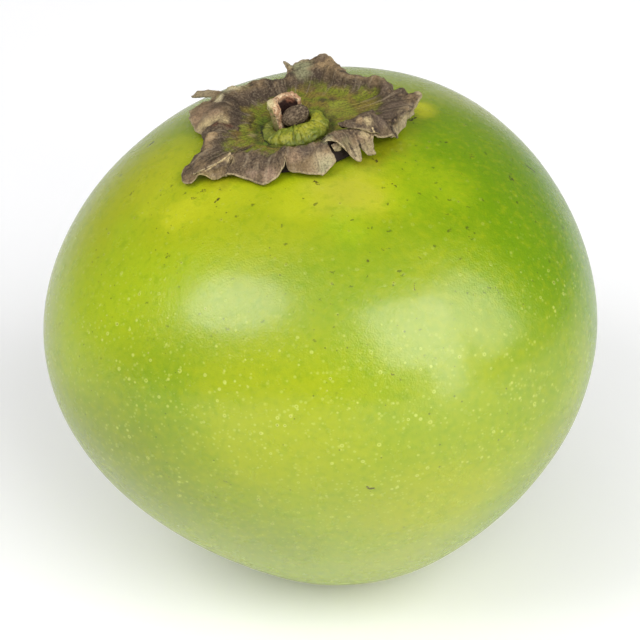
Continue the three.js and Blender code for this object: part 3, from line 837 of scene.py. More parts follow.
def grow_flap(rows, paleness, edge):
    """A small thick patch through its control rows."""
    control = from_polar(*np.moveaxis(np.array(rows, float), -1, 0))
    strips = curve_through(control, FLAP_ROW_STEPS)
    top = curve_through(np.moveaxis(strips, 1, 0), FLAP_STEPS)
    top = on_skin(np.moveaxis(top, 0, 1))
    normals = grid_normals(top, False)
    normals = normals * np.where(normals[..., 2:].mean() < 0, -1, 1)
    top = top + normals * crumple(top, *FLAP_CRUMPLES)
    below = top - normals * FLAP_THICKNESS
    count, columns = top.shape[:2]
    half = count * columns
    faces = quads(count, columns, 0, False)
    faces += [tuple(reversed(face)) for face in quads(count, columns, half, False)]
    border = list(range(columns))
    border += [i * columns + columns - 1 for i in range(1, count)]
    border += [(count - 1) * columns + j for j in range(columns - 2, -1, -1)]
    border += [i * columns for i in range(count - 2, 0, -1)]
    for a, b in zip(border, border[1:] + border[:1]):
        faces.append((a, b, b + half, a + half))
    down = np.linspace(FLAP_ROOT, edge, count)[:, None] * np.ones(columns)
    down[:, 0] = down[:, -1] = edge
    down = down.reshape(-1)
    points = np.concatenate((top.reshape(-1, 3), below.reshape(-1, 3)))
    add_calyx_shell(
        points,
        faces,
        across=np.concatenate((down, np.maximum(UNDERSIDE - down, ROUND_RIM))),
        paleness=np.full(2 * half, paleness),
        green_reach=np.ones(2 * half),
        groove=np.zeros(2 * half),
        ribs=points / RIB_SPAN,
    )


def record(made, name, values):
    """Stores what a material reads at each vertex: a number, or three."""
    values = np.asarray(values, np.float32)
    kind, slot = ("FLOAT", "value") if values.ndim == 1 else ("FLOAT_VECTOR", "vector")
    made.data.attributes.new(name, kind, "POINT").data.foreach_set(slot, values.reshape(-1))


def mark(shader, name):
    """What record stored, as a field."""
    return place(shader.id_data, "Attribute", {}, attribute_name=name)["Fac"]


def calyx_object():
    made = grown("calyx_sheet", stand(np.concatenate(calyx_points)), calyx_faces)
    for name, values in calyx_marks.items():
        record(made, name, np.concatenate(values))
    return made


DISC_GREEN = paint(118, 124, 32)
DISC_OLIVE = paint(130, 114, 46)
DISC_LIGHT = paint(148, 152, 54)
DISC_DARK_AND_SHADE = paint(76, 68, 28)
DISC_LEAF = paint(102, 124, 34)
GROOVE_SHADE_GREEN = paint(56, 72, 26)
GROOVE_SHADE = paint(36, 46, 26)
DRY_DARK_AND_SHADE = paint(62, 50, 39)
DRY_BROWN = paint(104, 87, 65)
DRY_TAN_AND_HIGHLIGHT = paint(130, 108, 76)
DRY_PALE = paint(174, 157, 120)
DRY_RIM_AND_HIGHLIGHT = paint(178, 160, 122)
DRY_FLECK = paint(164, 148, 118)
PAINTED_PLEAT_SHADE = paint(40, 29, 23)
GOLD = paint(172, 144, 102)
PALE_GOLD_AND_HIGHLIGHT = paint(202, 180, 130)
WARM = paint(160, 132, 100)
PINK = paint(162, 134, 110)
GREY_GREEN = paint(150, 150, 110)
OLIVE_GREY = paint(124, 114, 78)
RED_BROWN = paint(104, 64, 44)
STRAW = paint(178, 164, 108)
PALE_STRAW = paint(216, 202, 158)
MAUVE = paint(98, 82, 67)

# Where the calyx has dried to another colour: bearing, radius, height, how wide, in millimetres.
CALYX_PATCHES = [
    (72, 17.7, 4.5, 2.2, GOLD, 0.8),
    (64, 16, 4.4, 3.2, GOLD, 0.75),
    (74.5, 19.3, 4.9, 1.6, MAUVE, 0.8),
    (72, 14.5, 2.9, 2.2, DRY_DARK_AND_SHADE, 0.7),
    (63, 14.2, 3.0, 2.0, DRY_DARK_AND_SHADE, 0.6),
    (92, 17.5, 3.2, 1.3, GOLD, 0.9),
    (86, 17.5, 3.9, 2.8, GREY_GREEN, 0.95),
    (84, 14.8, 3.5, 2.2, GREY_GREEN, 0.7),
    (31, 18, 4.5, 2.6, DRY_TAN_AND_HIGHLIGHT, 0.8),
    (24, 18, 4.2, 2.0, MAUVE, 0.7),
    (53, 8.3, 1.2, 1.1, DRY_DARK_AND_SHADE, 0.75),
    (29, 8.0, 1.0, 1.0, DISC_LIGHT, 0.5),
    (175, 7.9, 1.3, 0.8, DISC_DARK_AND_SHADE, 0.6),
    (158, 7.8, 1.3, 0.9, DISC_DARK_AND_SHADE, 0.5),
    (45.6, 9.6, 1.2, 1.1, DRY_DARK_AND_SHADE, 0.7),
    (77, 12.5, 1.5, 2.6, DRY_DARK_AND_SHADE, 0.4),
    (40, 14, 2.0, 1.4, DRY_DARK_AND_SHADE, 0.6),
    (29, 9, 1.0, 3.0, DISC_LIGHT, 0.55),
    (15, 7, 1.0, 1.6, DISC_LIGHT, 0.5),
    (15, 13.2, 2.0, 3.0, DISC_OLIVE, 0.9),
    (2.5, 17.8, 3.8, 3.0, MAUVE, 0.7),
    (350, 16.8, 3.9, 2.4, MAUVE, 0.7),
    (8, 21.2, 4.6, 1.8, DRY_TAN_AND_HIGHLIGHT, 0.8),
    (12.5, 22.7, 4.8, 1.2, DRY_PALE, 0.8),
    (337, 16.8, 5.2, 2.2, MAUVE, 0.8),
    (352, 19.2, 3.0, 2.4, DRY_RIM_AND_HIGHLIGHT, 0.6),
    (324.5, 14.8, 6.4, 1.0, GOLD, 0.7),
    (328, 15.8, 6.2, 1.2, PALE_GOLD_AND_HIGHLIGHT, 0.8),
    (316, 16.8, 5.0, 1.6, PINK, 0.8),
    (320.5, 16.6, 5.2, 1.3, PALE_GOLD_AND_HIGHLIGHT, 0.8),
    (308, 15, 4.2, 1.6, OLIVE_GREY, 0.85),
    (299, 13.4, 4.9, 1.2, GREY_GREEN, 0.6),
    (288.4, 15.3, 3.2, 2.0, DRY_PALE, 0.7),
    (291, 15.8, 1.8, 2.4, GREY_GREEN, 0.6),
    (282, 15.4, 2.2, 1.8, DRY_TAN_AND_HIGHLIGHT, 0.7),
    (279, 13, 4.5, 2.2, MAUVE, 0.7),
    (255, 15.6, 2.1, 2.0, PINK, 0.6),
    (244, 15.9, 1.8, 1.4, PINK, 0.5),
    (272, 13.8, 3.7, 1.7, WARM, 0.7),
    (225.6, 15.2, 3.2, 1.1, PALE_GOLD_AND_HIGHLIGHT, 0.7),
    (209, 14.4, 2.9, 1.6, DRY_DARK_AND_SHADE, 0.75),
    (201, 13.3, 3.3, 1.6, DRY_DARK_AND_SHADE, 0.7),
    (214, 16.3, 3.1, 1.5, DRY_DARK_AND_SHADE, 0.6),
    (211, 21.2, 2.1, 1.6, DRY_TAN_AND_HIGHLIGHT, 0.7),
    (200, 7.4, 1.6, 1.2, STRAW, 0.6),
    (156, 5.8, 0.8, 1.5, DISC_LEAF, 0.8),
    (187, 5.4, 0.9, 1.0, DISC_LEAF, 0.7),
    (180, 8.3, 1.5, 1.3, DISC_LIGHT, 0.8),
    (228, 7.9, 1.6, 1.6, DISC_LEAF, 0.9),
    (193, 10.0, 2.0, 1.3, RED_BROWN, 0.6),
    (183, 11.2, 3.0, 1.3, RED_BROWN, 0.7),
    (181, 13.4, 3.6, 1.4, RED_BROWN, 0.7),
    (198, 14.8, 4.5, 1.7, GOLD, 0.8),
    (204, 16, 4.4, 1.4, GOLD, 0.6),
    (171, 15.0, 3.0, 2.0, PALE_GOLD_AND_HIGHLIGHT, 0.95),
    (171.5, 13.6, 3.3, 1.7, PALE_GOLD_AND_HIGHLIGHT, 0.95),
    (175.5, 11.9, 3.1, 1.3, PALE_GOLD_AND_HIGHLIGHT, 0.9),
    (170, 16.8, 2.0, 1.6, PALE_GOLD_AND_HIGHLIGHT, 0.7),
    (155, 18.4, 2.7, 4.6, WARM, 0.9),
    (164, 14.5, 3.5, 2.4, WARM, 0.8),
    (146, 12.3, 4.0, 3.2, DRY_DARK_AND_SHADE, 0.75),
    (158, 10.8, 2.8, 2.2, DRY_DARK_AND_SHADE, 0.6),
    (148, 10, 1.9, 1.4, DISC_OLIVE, 0.8),
    (143.6, 16.6, 3.5, 1.2, STRAW, 0.7),
    # A dot of painted shade in a small hole.
    (143.8, 18.2, 2.9, 0.45, PAINTED_PLEAT_SHADE, 0.9),
    (136, 16, 3.8, 2.0, GREY_GREEN, 0.8),
    (128.5, 15, 4.0, 2.4, STRAW, 0.7),
    (134, 15.3, 4.3, 1.8, PALE_STRAW, 0.7),
    (129, 15.0, 4.2, 1.8, PALE_STRAW, 0.7),
    (145, 15.8, 3.7, 1.4, PALE_STRAW, 0.9),
    (6, 9.5, 1.2, 2.2, DISC_LIGHT, 0.5),
    (4, 6.7, 0.8, 1.2, DISC_DARK_AND_SHADE, 0.5),
    (115, 14, 4.2, 1.6, GOLD, 0.6),
]

# Lines along creases and fold edges: the dark ones are painted shade in the folds and where the disc
# meets the collar, the pale gold ones painted highlights on rolled edges and a tear, partly paler dried
# tissue. Places along each, as bearing, radius and height, then how wide, the colour and how strong.
FOLD_SHADE_AND_HIGHLIGHT_LINES = [
    ([(346, 18.7, 4.8), (342, 18.3, 4.6), (341.6, 18.1, 2.8), (342.4, 18.4, 1.3)],
     0.42, PAINTED_PLEAT_SHADE, 0.9),
    ([(5, 21.0, 4.6), (357, 20.2, 4.7), (351, 19.3, 4.8), (346, 18.7, 4.8)], 0.3, PAINTED_PLEAT_SHADE, 0.6),
    ([(328.4, 17, 5.1), (327.4, 17.2, 4.3), (326.4, 17.1, 3.4)], 0.3, PAINTED_PLEAT_SHADE, 0.85),
    ([(326.4, 16.9, 5.5), (325.3, 17.3, 5.2), (324.1, 17, 4.2)], 0.25, PALE_GOLD_AND_HIGHLIGHT, 0.9),
    ([(309.8, 15.4, 4.2), (310.1, 15.9, 3.4), (311, 16.4, 2.2)], 0.3, PAINTED_PLEAT_SHADE, 0.6),
    ([(315.9, 15.9, 4.4), (316.4, 15.9, 3.3), (316.6, 16, 2.4)], 0.35, PAINTED_PLEAT_SHADE, 0.85),
    ([(225.3, 14.6, 3.4), (226, 15.2, 2.9), (226.5, 15.8, 2.4)], 0.3, PAINTED_PLEAT_SHADE, 0.8),
    ([(222.1, 14.1, 3.3), (223.5, 15.5, 3.6), (222.7, 16.5, 3.4)], 0.2, PALE_GOLD_AND_HIGHLIGHT, 0.7),
    ([(222.7, 16.5, 3.4), (221.2, 17.6, 3.3), (220, 18.5, 3.1), (218, 19.6, 3.0)], 0.18, PALE_GOLD_AND_HIGHLIGHT, 0.6),
    ([(215.5, 20.2, 2.6), (217.5, 19.6, 2.4), (219.5, 18.9, 1.6), (221.3, 18.5, 1.0)],
     0.25, PALE_GOLD_AND_HIGHLIGHT, 0.8),
    ([(172, 5.6, 0.8), (200, 5.8, 0.9), (226, 6.7, 1.1), (238, 7.6, 1.3)], 0.42, GROOVE_SHADE, 0.8),
    ([(157, 7.5, 1.2), (170, 7.6, 1.3), (181, 7.4, 1.3)], 0.4, DISC_DARK_AND_SHADE, 0.8),
]

RIB_GRAIN = (26, 26, 0.8)  # how finely its colour is ribbed, round and outwards
CALYX_RELIEF = 0.2


def over_skin(bearing, radius, height):
    """That place over the skin, as materials read it."""
    return tuple(stand(on_skin(from_polar(bearing, radius, height))) / MM)


def calyx_material():
    material, shader, at = finish_material("dry_calyx", {"Roughness": 0.8, "Specular IOR Level": 0.3})
    across, paleness = mark(shader, "across"), mark(shader, "paleness")
    green_reach, groove = mark(shader, "green_reach"), mark(shader, "groove")
    turned = place(at.tree, "Attribute", {}, attribute_name="ribs")["Vector"]
    ribs = mottle(vectors("MULTIPLY", turned, RIB_GRAIN)["Vector"], 1.0)
    grain = mottle(at, 2.4, 5.0)
    fleck = mottle(at, 3.2)
    cloud = mottle(at, 0.5)
    wander = across + (cloud - 0.5) * 1.3 + (ribs - 0.5) * 1.1
    past_green = wander - green_reach
    # The living middle.
    green = over(fade(cloud, 0.42, 0.62), DISC_GREEN, DISC_OLIVE)
    green = over(fade(ribs, 0.5, 0.32) * 0.5, green, DISC_DARK_AND_SHADE)
    green = over(fade(ribs, 0.56, 0.7) * 0.4, green, DISC_LIGHT)
    green = over(fade(grain, 0.5, 0.3) * 0.35, green, DISC_DARK_AND_SHADE)
    # Painted shade in the groove where the disc meets the collar.
    green = over(groove * 0.75, green, GROOVE_SHADE_GREEN)
    # The dried lobes: paler on their outer face, with painted shade in the fold at the foot, partly
    # their own darker colour, and a painted highlight along the ridge, partly worn paler.
    brown = over(fade(grain + cloud, 0.7, 1.2), DRY_DARK_AND_SHADE, DRY_BROWN)
    bleached = paleness * fade(across, RIDGE, EDGE - 0.3)
    outer = over(fade(bleached, 0.1, 0.55), brown, DRY_TAN_AND_HIGHLIGHT)
    outer = over(fade(bleached, 0.45, 0.85), outer, DRY_PALE)
    # Painted shade in the fold at the lobes' foot, partly their own darker colour.
    fold = fade(across, FOOT + 0.7, FOOT + 0.1) * fade(across, FOOT - 0.4, FOOT)
    inner = over(fold * 0.7, brown, DRY_DARK_AND_SHADE)
    # A painted highlight along the ridge, partly where it has worn paler.
    ridge_wear_and_highlight = fade(across, RIDGE - 0.4, RIDGE - 0.05) * fade(across, RIDGE + 0.35, RIDGE)
    inner = over(ridge_wear_and_highlight * fade(cloud, 0.4, 0.6), inner, DRY_TAN_AND_HIGHLIGHT)
    colour = over(fade(past_green, -0.25, 0.35), green, inner)
    colour = over(fade(wander, RIDGE, TURN), colour, outer)
    patches = [(over_skin(*patch[:3]), *patch[3:]) for patch in CALYX_PATCHES]
    colour = patched(at, colour, patches)
    # A pale rim along the free edges: partly the dried margin's own paleness, partly a painted highlight
    # where the edges catch the light.
    pale_rim_and_highlight = fade(across, EDGE - 0.15, EDGE - 0.02) * fade(cloud, 0.2, 0.45)
    colour = over(pale_rim_and_highlight * 0.9, colour, DRY_RIM_AND_HIGHLIGHT)
    colour = over(fade(across, EDGE + 0.5, EDGE + 1.5), colour, brown)
    # Painted shade and painted highlight lines along the folds.
    for path, width, shade, strength in FOLD_SHADE_AND_HIGHLIGHT_LINES:
        colour = lined(at, colour, [over_skin(*spot) for spot in path], width, shade, strength)
    # Grain, flecks and ribs over all of it.
    colour = over(fade(grain, 0.52, 0.34) * 0.35, colour, DRY_DARK_AND_SHADE)
    colour = over(fade(fleck, 0.5, 0.36) * 0.4, colour, DRY_DARK_AND_SHADE)
    dried = fade(past_green, -0.6, 0.2)
    colour = over(dried * fade(fleck, 0.52, 0.66) * 0.22, colour, DRY_FLECK)
    colour = over(dried * fade(ribs, 0.5, 0.34) * 0.35, colour, DRY_DARK_AND_SHADE)
    colour = over(dried * fade(ribs, 0.54, 0.7) * 0.3, colour, DRY_FLECK)
    # Sheets marked -1 are painted dark as shade.
    colour = over(fade(paleness, -0.2, -0.8), colour, PAINTED_PLEAT_SHADE)
    connect(shader, {"Base Color": colour, "Normal": bumps(grain + ribs * 1.4, CALYX_RELIEF)})
    return material


grow_sheet()
for flap in FLAPS.values():
    grow_flap(*flap)
calyx_sheet = calyx_object()
calyx_sheet.data.materials.append(calyx_material())
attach(calyx_sheet, "root")
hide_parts("calyx")

# ---- The collar -----------------------------------------------------------------------------------
# A ring of living green tissue swollen round the foot of the stalk and drawn into small puckers. It
# is one growth with the calyx and presses against the stub.

COLLAR_X, COLLAR_Y = 0.2, -2.1

# Going round: bearing, inner and outer radius, and height above the skin.
COLLAR = [
    (0, 3.0, 5.9, 2.9),
    (28, 3.4, 5.6, 2.6),
    (55, 3.9, 5.3, 2.2),
    (90, 4.0, 5.3, 1.9),
    (135, 4.1, 5.2, 1.5),
    (180, 3.6, 5.3, 1.2),
    (208, 3.0, 5.6, 1.5),
    (224, 2.4, 5.8, 2.4),
    (246, 2.2, 5.9, 2.9),
    (270, 1.9, 5.9, 3.2),
    (300, 2.0, 6.0, 3.1),
    (330, 2.6, 6.1, 3.0),
]
COLLAR_FOOT = 1.0
PUCKERS = 19
PUCKER_DEPTH, PUCKER_SHARPNESS = 0.32, 2.5
PUCKER_STRAY = 6  # how far noise moves them round, in radians of a pucker
PUCKER_LEVEL, PUCKER_SPREAD = 0.5, 2.2  # their usual depth as a share, and how far noise changes it
SHALLOWEST, DEEPEST = 0.05, 1.4
PUCKERS_DOWN = 0.8  # how far down its flanks they run, 1 being under it
# How finely each of those noises changes, and which layer of the noise it is.
STRAYING, SPREADING = (2.2, 0.3), (3.1, 4.0)
DEEP_FURROW = 272  # bearing of the deepest, where the ring once split
FURROW_DEPTH, FURROW_WIDTH = 1.1, 2.8
COLUMNS_PER_PUCKER, COLLAR_ROWS = 22, 48
COLLAR_SQUARENESS = 0.8
COLLAR_LEAN = 0.3  # how far its crown leans in, as a share of its half width
COLLAR_CRUMPLES = (0.3, 1.3)


def noise_round(turn, scale, layer):
    """Smooth noise that closes on itself once round."""
    places = [Vector((math.cos(t), math.sin(t), layer)) * scale for t in turn]
    return np.array([noise.noise(spot) for spot in places])


def grow_collar():
    columns = COLUMNS_PER_PUCKER * PUCKERS
    turn = np.linspace(0, 2 * math.pi, columns, endpoint=False)
    stations = np.array(COLLAR, float)
    bearings = np.degrees(turn)
    inner, outer, tall = (
        np.interp(bearings, stations[:, 0], column, period=360) for column in stations.T[1:]
    )
    wobble, uneven = noise_round(turn, *STRAYING), noise_round(turn, *SPREADING)
    furrow = 1 - np.abs(np.sin((PUCKERS * turn + PUCKER_STRAY * wobble) / 2))
    depth = np.clip(PUCKER_LEVEL + PUCKER_SPREAD * uneven, SHALLOWEST, DEEPEST)
    furrow = furrow**PUCKER_SHARPNESS * depth
    deep = FURROW_DEPTH * np.exp(-(((bearings - DEEP_FURROW) / FURROW_WIDTH) ** 2))
    furrow = np.maximum(furrow, deep)
    angle = np.linspace(0, 2 * math.pi, COLLAR_ROWS, endpoint=False)[:, None]
    middle, half = (inner + outer) / 2, (outer - inner) / 2
    facing = np.clip(np.sin(angle) + PUCKERS_DOWN, 0, 1)
    fold = PUCKER_DEPTH * furrow * facing
    crown = np.sign(np.sin(angle)) * np.abs(np.sin(angle)) ** COLLAR_SQUARENESS
    radius = middle + (half - fold) * np.cos(angle) - COLLAR_LEAN * half * crown
    height = COLLAR_FOOT + (tall - COLLAR_FOOT) / 2 * (1 + crown) - fold
    x, y = COLLAR_X + radius * np.cos(turn), COLLAR_Y + radius * np.sin(turn)
    ring = on_skin(np.stack((x, y, height), -1))
    ring = ring - grid_normals(ring, True) * crumple(ring, *COLLAR_CRUMPLES)
    faces = []
    for i in range(COLLAR_ROWS):
        row, below = i * columns, (i + 1) % COLLAR_ROWS * columns
        for j in range(columns):
            following = (j + 1) % columns
            faces.append((row + j, row + following, below + following, below + j))
    made = grown("stalk_collar", stand(ring), faces)
    for name, marks in (("furrow", furrow), ("crown", crown)):
        record(made, name, np.broadcast_to(marks, (COLLAR_ROWS, columns)).reshape(-1))
    return made


COLLAR_YELLOW = paint(150, 148, 38)
COLLAR_GREEN = paint(118, 128, 36)
COLLAR_FLANK = paint(112, 120, 42)
COLLAR_DULL = paint(112, 118, 50)
COLLAR_DARK_AND_FURROW_SHADE = paint(66, 76, 24)
DULL_PLACES = [(190, 3.0), (214, 1.6), (140, 3.2)]  # bearing and reach of its duller places
DULL_RADIUS, DULL_HEIGHT = 4.8, 2.0


def collar_material():
    material, shader, at = finish_material("living_collar", {"Roughness": 0.5})
    cloud = mottle(at, 0.5)
    grain = mottle(at, 2.5, 4.0)
    colour = over(fade(cloud, 0.42, 0.62), COLLAR_YELLOW, COLLAR_GREEN)
    low = mark(shader, "crown") + (grain - 0.5)
    colour = over(fade(low, 0.6, -0.5), colour, COLLAR_FLANK)
    for bearing, reach in DULL_PLACES:
        spot = from_polar(bearing, DULL_RADIUS, DULL_HEIGHT) + (COLLAR_X, COLLAR_Y, 0)
        centre = tuple(stand(on_skin(spot)) / MM)
        colour = patched(at, colour, [(centre, reach, COLLAR_DULL, 0.7)])
    colour = over(fade(grain, 0.52, 0.3) * 0.6, colour, COLLAR_DARK_AND_FURROW_SHADE)
    # Painted shade in the puckers' furrows.
    colour = over(fade(mark(shader, "furrow"), 0.4, 1.4) * 0.8, colour, COLLAR_DARK_AND_FURROW_SHADE)
    connect(shader, {"Base Color": colour, "Normal": bumps(grain, 0.15, 0.8)})
    return material


stalk_collar = grow_collar()
stalk_collar.data.materials.append(collar_material())
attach(stalk_collar, "root")
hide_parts("calyx_collar")

# ---- The bark sleeve ------------------------------------------------------------------------------
# What is left of the stalk's bark when the fruit was snapped off: a torn wall round the back and
# left of the stub, greenish outside, with a raw pinkish edge. It stands in the collar.

STUB_X, STUB_Y, STUB_FOOT = -0.1, -1.8, 1.0
# Going round the wall: bearing, outer radius at the foot and at the top, thickness at the foot and at
# the top, and height of the torn edge above the skin.
SLEEVE = [
    (54, 3.3, 3.3, 1.0, 1.0, 4.6),
    (62, 3.4, 3.5, 1.1, 1.2, 5.5),
    (75, 3.5, 3.6, 1.1, 1.3, 5.9),
    (92, 3.5, 3.6, 1.1, 1.3, 5.9),
    (112, 3.4, 3.4, 1.1, 1.2, 6.1),
    (135, 3.3, 3.3, 1.1, 1.1, 6.0),
    (155, 3.3, 3.3, 1.1, 1.3, 6.2),
    (172, 3.2, 3.6, 1.1, 1.7, 6.5),
    (188, 3.0, 3.9, 1.1, 2.1, 6.6),
    (200, 2.8, 3.8, 1.1, 2.1, 6.5),
    (212, 2.7, 3.6, 1.2, 1.9, 6.2),
    (224, 2.6, 3.5, 1.3, 1.6, 5.9),
]
WALL_ROWS, LIP_ROWS = 26, 9
PER_SLEEVE_STATION = 10
TORN_DEPTH, TORN_TEETH = 0.14, 9
TORN_LAYERS = (0.7, 2.0, 4)
LIP_HEIGHT = 0.2
WALL_CRUMPLES, CRUMPLED_TOWARDS = (0.2, 0.9), (1, 1, 0.8)
TOP_THINNING = 0.15  # share of its thickness that the wall loses towards its top


def grow_sleeve():
    """The wall goes up its outside, over the lip and down its inside at each step round."""
    stations = curve_through(np.array(SLEEVE, float), PER_SLEEVE_STATION)
    bearing = np.radians(stations[:, :1])
    foot, outer, thin, thick, tops = (stations[:, i : i + 1] for i in range(1, 6))
    steps = len(stations)
    teeth = [Vector((step / steps * TORN_TEETH, 0.5, 0)) for step in range(steps)]
    torn = [noise.fractal(tooth, *TORN_LAYERS) for tooth in teeth]
    tops = tops + TORN_DEPTH * np.array(torn)[:, None]
    lip = np.linspace(0, math.pi, LIP_ROWS + 2)[1:-1]
    up, down = np.linspace(0, 1, WALL_ROWS), np.linspace(1, 0, WALL_ROWS)
    flat = np.zeros(WALL_ROWS)
    side = np.concatenate((flat + 1, np.cos(lip), flat - 1))
    rise = np.concatenate((up, np.ones(LIP_ROWS), down))
    crown = np.concatenate((flat, LIP_HEIGHT * np.sin(lip), flat))
    height = STUB_FOOT + (tops - STUB_FOOT) * rise + crown
    half = (thin + (thick - thin) * rise) / 2
    reach = foot + (outer - foot) * rise - half + half * side * (1 - TOP_THINNING * rise)
    x = STUB_X + reach * np.cos(bearing)
    y = STUB_Y + reach * np.sin(bearing)
    wall = on_skin(np.stack((x, y, height), -1))
    wall = wall + crumple(wall, *WALL_CRUMPLES) * CRUMPLED_TOWARDS * rise[:, None]
    count = wall.shape[1]
    faces = quads(steps, count)
    faces.append(tuple(range(count)))
    faces.append(tuple(reversed(range((steps - 1) * count, steps * count))))
    made = grown("bark_sleeve", stand(wall), faces)
    inward = np.tile((1 - side) / 2, steps).reshape(steps, count)
    inward[0] = inward[-1] = 0.5
    for name, marks in (("inward", inward), ("rise", np.broadcast_to(rise, (steps, count)))):
        record(made, name, marks.reshape(-1))
    return made


BARK_OUTSIDE = paint(156, 148, 94)
BARK_RAW = paint(180, 140, 104)
BARK_RAW_PALE = paint(216, 188, 148)
BARK_DARK_AND_SHADE = paint(52, 32, 26)
BARK_STRAW = paint(196, 186, 136)
BARK_RED = paint(158, 104, 74)

# Where the bark is another colour: middle and radius in millimetres, in the row's frame.
BARK_PATCHES = [
    ((-13.3, -2.4, 98.6), 1.5, BARK_STRAW, 0.85),
    ((-9.6, 0.75, 97.6), 1.05, BARK_RED, 0.75),
]
ROUGH_AND_DULL = {"Roughness": 0.85, "Specular IOR Level": 0.25}


def bark_material():
    material, shader, at = finish_material("torn_bark", ROUGH_AND_DULL)
    inward, rise = mark(shader, "inward"), mark(shader, "rise")
    grain = mottle(at, 2.2, 6.0)
    chips = mottle(at, 1.3, 4.0)
    raw = over(fade(chips, 0.45, 0.62), BARK_RAW, BARK_RAW_PALE)
    outside = over(fade(chips, 0.44, 0.34), BARK_OUTSIDE, BARK_RAW)
    ragged = inward + (grain - 0.5) * 0.3
    colour = over(fade(ragged, 0.05, 0.2), outside, raw)
    hollow = fade(inward, 0.9, 1.0) * fade(rise, 0.95, 0.8)
    colour = over(hollow, colour, BARK_DARK_AND_SHADE)
    colour = patched(at, colour, BARK_PATCHES)
    colour = over(fade(grain, 0.47, 0.34) * 0.6, colour, BARK_DARK_AND_SHADE)
    # Painted shade towards the wall's foot, where it meets the collar.
    colour = over(fade(rise, 0.3, 0.05) * 0.4, colour, BARK_DARK_AND_SHADE)
    connect(shader, {"Base Color": colour, "Normal": bumps(grain, 0.4)})
    return material


bark_sleeve = grow_sleeve()
bark_sleeve.data.materials.append(bark_material())
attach(bark_sleeve, "root")
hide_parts("stem_sleeve")

# ---- The wood plug --------------------------------------------------------------------------------
# The stalk's dead wood, shrunk to a rounded grey-brown knob that lies in the open side of the
# sleeve, with fine grooves along it.

PLUG_X, PLUG_Y, PLUG_HEIGHT = 0.8, -2.2, 3.5
PLUG_LENGTH, PLUG_WIDTH, PLUG_DEPTH = 2.6, 1.7, 1.7
PLUG_BEARING = math.radians(40)
PLUG_ROWS, PLUG_COLUMNS = 80, 110
PLUG_BLUNTNESS = 0.85
# As shares of its size: how deep and how wide its lumps and its grooves are.
PLUG_LUMPS = (0.05, 0.8)
PLUG_GROOVES = (0.02, 1.0)


def grow_plug():
    polar = np.linspace(0, math.pi, PLUG_ROWS + 2)[1:-1, None]
    turn = np.linspace(0, 2 * math.pi, PLUG_COLUMNS, endpoint=False)[None, :]
    sides = np.sin(polar) ** PLUG_BLUNTNESS
    ball = np.stack(np.broadcast_arrays(np.cos(polar), sides * np.cos(turn), sides * np.sin(turn)), -1)
    ball = np.concatenate((ball.reshape(-1, 3), ((1, 0, 0), (-1, 0, 0))))
    lumps = crumple(ball, *PLUG_LUMPS) + crumple(ball * (1, 4, 4), *PLUG_GROOVES)
    ball = ball * (1 + lumps) * (PLUG_LENGTH, PLUG_WIDTH, PLUG_DEPTH)
    cos, sin = math.cos(PLUG_BEARING), math.sin(PLUG_BEARING)
    x = ball[:, 0] * cos - ball[:, 1] * sin + PLUG_X
    y = ball[:, 0] * sin + ball[:, 1] * cos + PLUG_Y
    base = skin_height(np.array(PLUG_X), np.array(PLUG_Y)) + PLUG_HEIGHT
    points = np.stack((x, y, ball[:, 2] + base), -1)
    faces = quads(PLUG_ROWS, PLUG_COLUMNS) + caps(PLUG_ROWS, PLUG_COLUMNS)
    return grown("wood_plug", stand(points), faces)


WOOD_GREY = paint(104, 88, 68)
WOOD_PALE = paint(142, 126, 98)
WOOD_DARK = paint(60, 48, 36)
FIBRE_STRETCH = (0.6, 1, 1)  # fibres run along the plug


def wood_material():
    material, shader, at = finish_material("dead_wood", ROUGH_AND_DULL)
    turning = {"rotation_type": "Z_AXIS", "invert": True}
    along = place(at.tree, "VectorRotate", {"Vector": at, "Angle": PLUG_BEARING}, **turning)["Vector"]
    fibre = mottle(vectors("MULTIPLY", along, FIBRE_STRETCH)["Vector"], 3.0, 5.0)
    cloud = mottle(at, 0.7, 2.0)
    colour = over(fade(fibre, 0.32, 0.6), WOOD_DARK, WOOD_GREY)
    colour = over(fade(fibre, 0.5, 0.7) * fade(cloud, 0.4, 0.6), colour, WOOD_PALE)
    connect(shader, {"Base Color": colour, "Normal": bumps(fibre, 0.09)})
    return material


wood_plug = grow_plug()
wood_plug.data.materials.append(wood_material())
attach(wood_plug, "root")
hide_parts("stem_plug")

# ---- The table, the lights and the camera ---------------------------------------------------------
# A plain white table with a faint painted glow that lightens its shadows, in a white room; three
# softboxes side by side at the front right, one at the left and a dim sheet of light overhead; and a
# long lens that looks down at the fruit.

TABLE_SIDE = 6.0
TABLE_WHITE = (0.98, 0.97, 0.945, 1)
# A painted glow: the table gives off light though it is no lamp.
TABLE_PAINTED_GLOW = 0.08


def lay_table():
    half = TABLE_SIDE / 2
    corners = np.array([(-half, -half, 0), (half, -half, 0), (half, half, 0), (-half, half, 0)])
    table = grown("table", corners, [(0, 1, 2, 3)])
    constants = {"Roughness": 0.7, "Base Color": TABLE_WHITE}
    glow = {"Emission Color": TABLE_WHITE, "Emission Strength": TABLE_PAINTED_GLOW}
    material, _, _ = finish_material("table_white", {**constants, **glow})
    table.data.materials.append(material)


ELEVATION = math.radians(35.2)
BACK = Vector((0, -math.cos(ELEVATION), math.sin(ELEVATION)))
BELLY = Vector((-REST_X, 0, -REST_Z)) * MM
COOL_WHITE = (0.94, 0.95, 1.0)


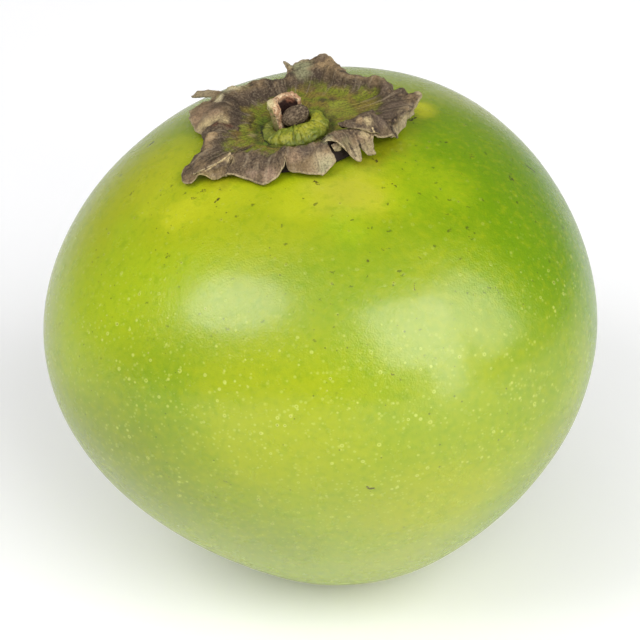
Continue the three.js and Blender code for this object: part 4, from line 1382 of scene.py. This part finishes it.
def softbox(name, direction, distance, width, height, brightness, mirrored=True, shape="RECTANGLE"):
    """A soft light that faces the fruit; brightness is what a mirror would show, white being 1."""
    lamp = bpy.data.lights.new(name, "AREA")
    lamp.shape = shape
    lamp.size, lamp.size_y = width, height
    area = width * height * (math.pi / 4 if shape == "ELLIPSE" else 1)
    lamp.energy = brightness * math.pi * area
    lamp.color = COOL_WHITE
    made = bpy.data.objects.new(name, lamp)
    towards = Vector(direction).normalized()
    made.location = BELLY + towards * distance
    made.rotation_mode = "QUATERNION"
    made.rotation_quaternion = towards.to_track_quat("Z", "Y")
    made.visible_glossy = mirrored
    bpy.context.scene.collection.objects.link(made)


WALLS, CEILING = 0.22, 0.08  # brightness of the room, white paper being 1
WALLS_RISE, CEILING_RISE = 0.1, 0.8  # how steeply up each of them begins, straight up being 1


def light_room():
    softbox("softbox_front", (0.37, -0.66, 0.653), 1.23, 0.64, 0.82, 4.3)
    softbox("softbox_right", (0.74, -0.325, 0.588), 1.28, 0.6, 1.1, 2.9)
    softbox("softbox_low", (0.561, -0.813, 0.158), 1.4, 0.34, 0.66, 4.0)
    softbox("softbox_left", (-0.55, -0.37, 0.75), 1.2, 0.58, 0.62, 4.9, shape="ELLIPSE")
    softbox("reflector_low", (0.35, -0.93, 0.05), 1.2, 0.6, 0.4, 0.9, mirrored=False)
    softbox("white_ceiling", (-0.3, -0.4, 0.87), 1.5, 2.0, 2.0, 1.4, mirrored=False)
    world = bpy.data.worlds.new("white_room")
    world.use_nodes = True
    tree = world.node_tree
    towards = place(tree, "TexCoord", {})["Generated"]
    rise = place(tree, "SeparateXYZ", {0: towards})["Z"]
    steepness = {"Value": rise, "From Min": WALLS_RISE, "From Max": CEILING_RISE}
    shown = {"To Min": WALLS, "To Max": CEILING}
    room = place(tree, "MapRange", {**steepness, **shown}, interpolation_type="SMOOTHSTEP")["Result"]
    connect(tree.nodes["Background"], {"Strength": room, "Color": (1, 1, 1, 1)})
    bpy.context.scene.world = world
    bpy.context.scene.view_settings.view_transform = "Standard"


CAMERA_DISTANCE = 0.57
LENS = 177.5
AIM_RIGHT, AIM_UP = -1.5, 4.1  # millimetres from the belly centre to the middle of the view


def stand_camera():
    lens = bpy.data.cameras.new("camera")
    lens.lens = LENS
    camera = bpy.data.objects.new("camera", lens)
    camera.location = BELLY + BACK * CAMERA_DISTANCE
    view_up = Vector((0, math.sin(ELEVATION), math.cos(ELEVATION)))
    aim = BELLY + (Vector((AIM_RIGHT, 0, 0)) + view_up * AIM_UP) * MM
    camera.rotation_mode = "QUATERNION"
    camera.rotation_quaternion = (camera.location - aim).to_track_quat("Z", "Y")
    bpy.context.scene.collection.objects.link(camera)
    bpy.context.scene.camera = camera


lay_table()
light_room()
stand_camera()
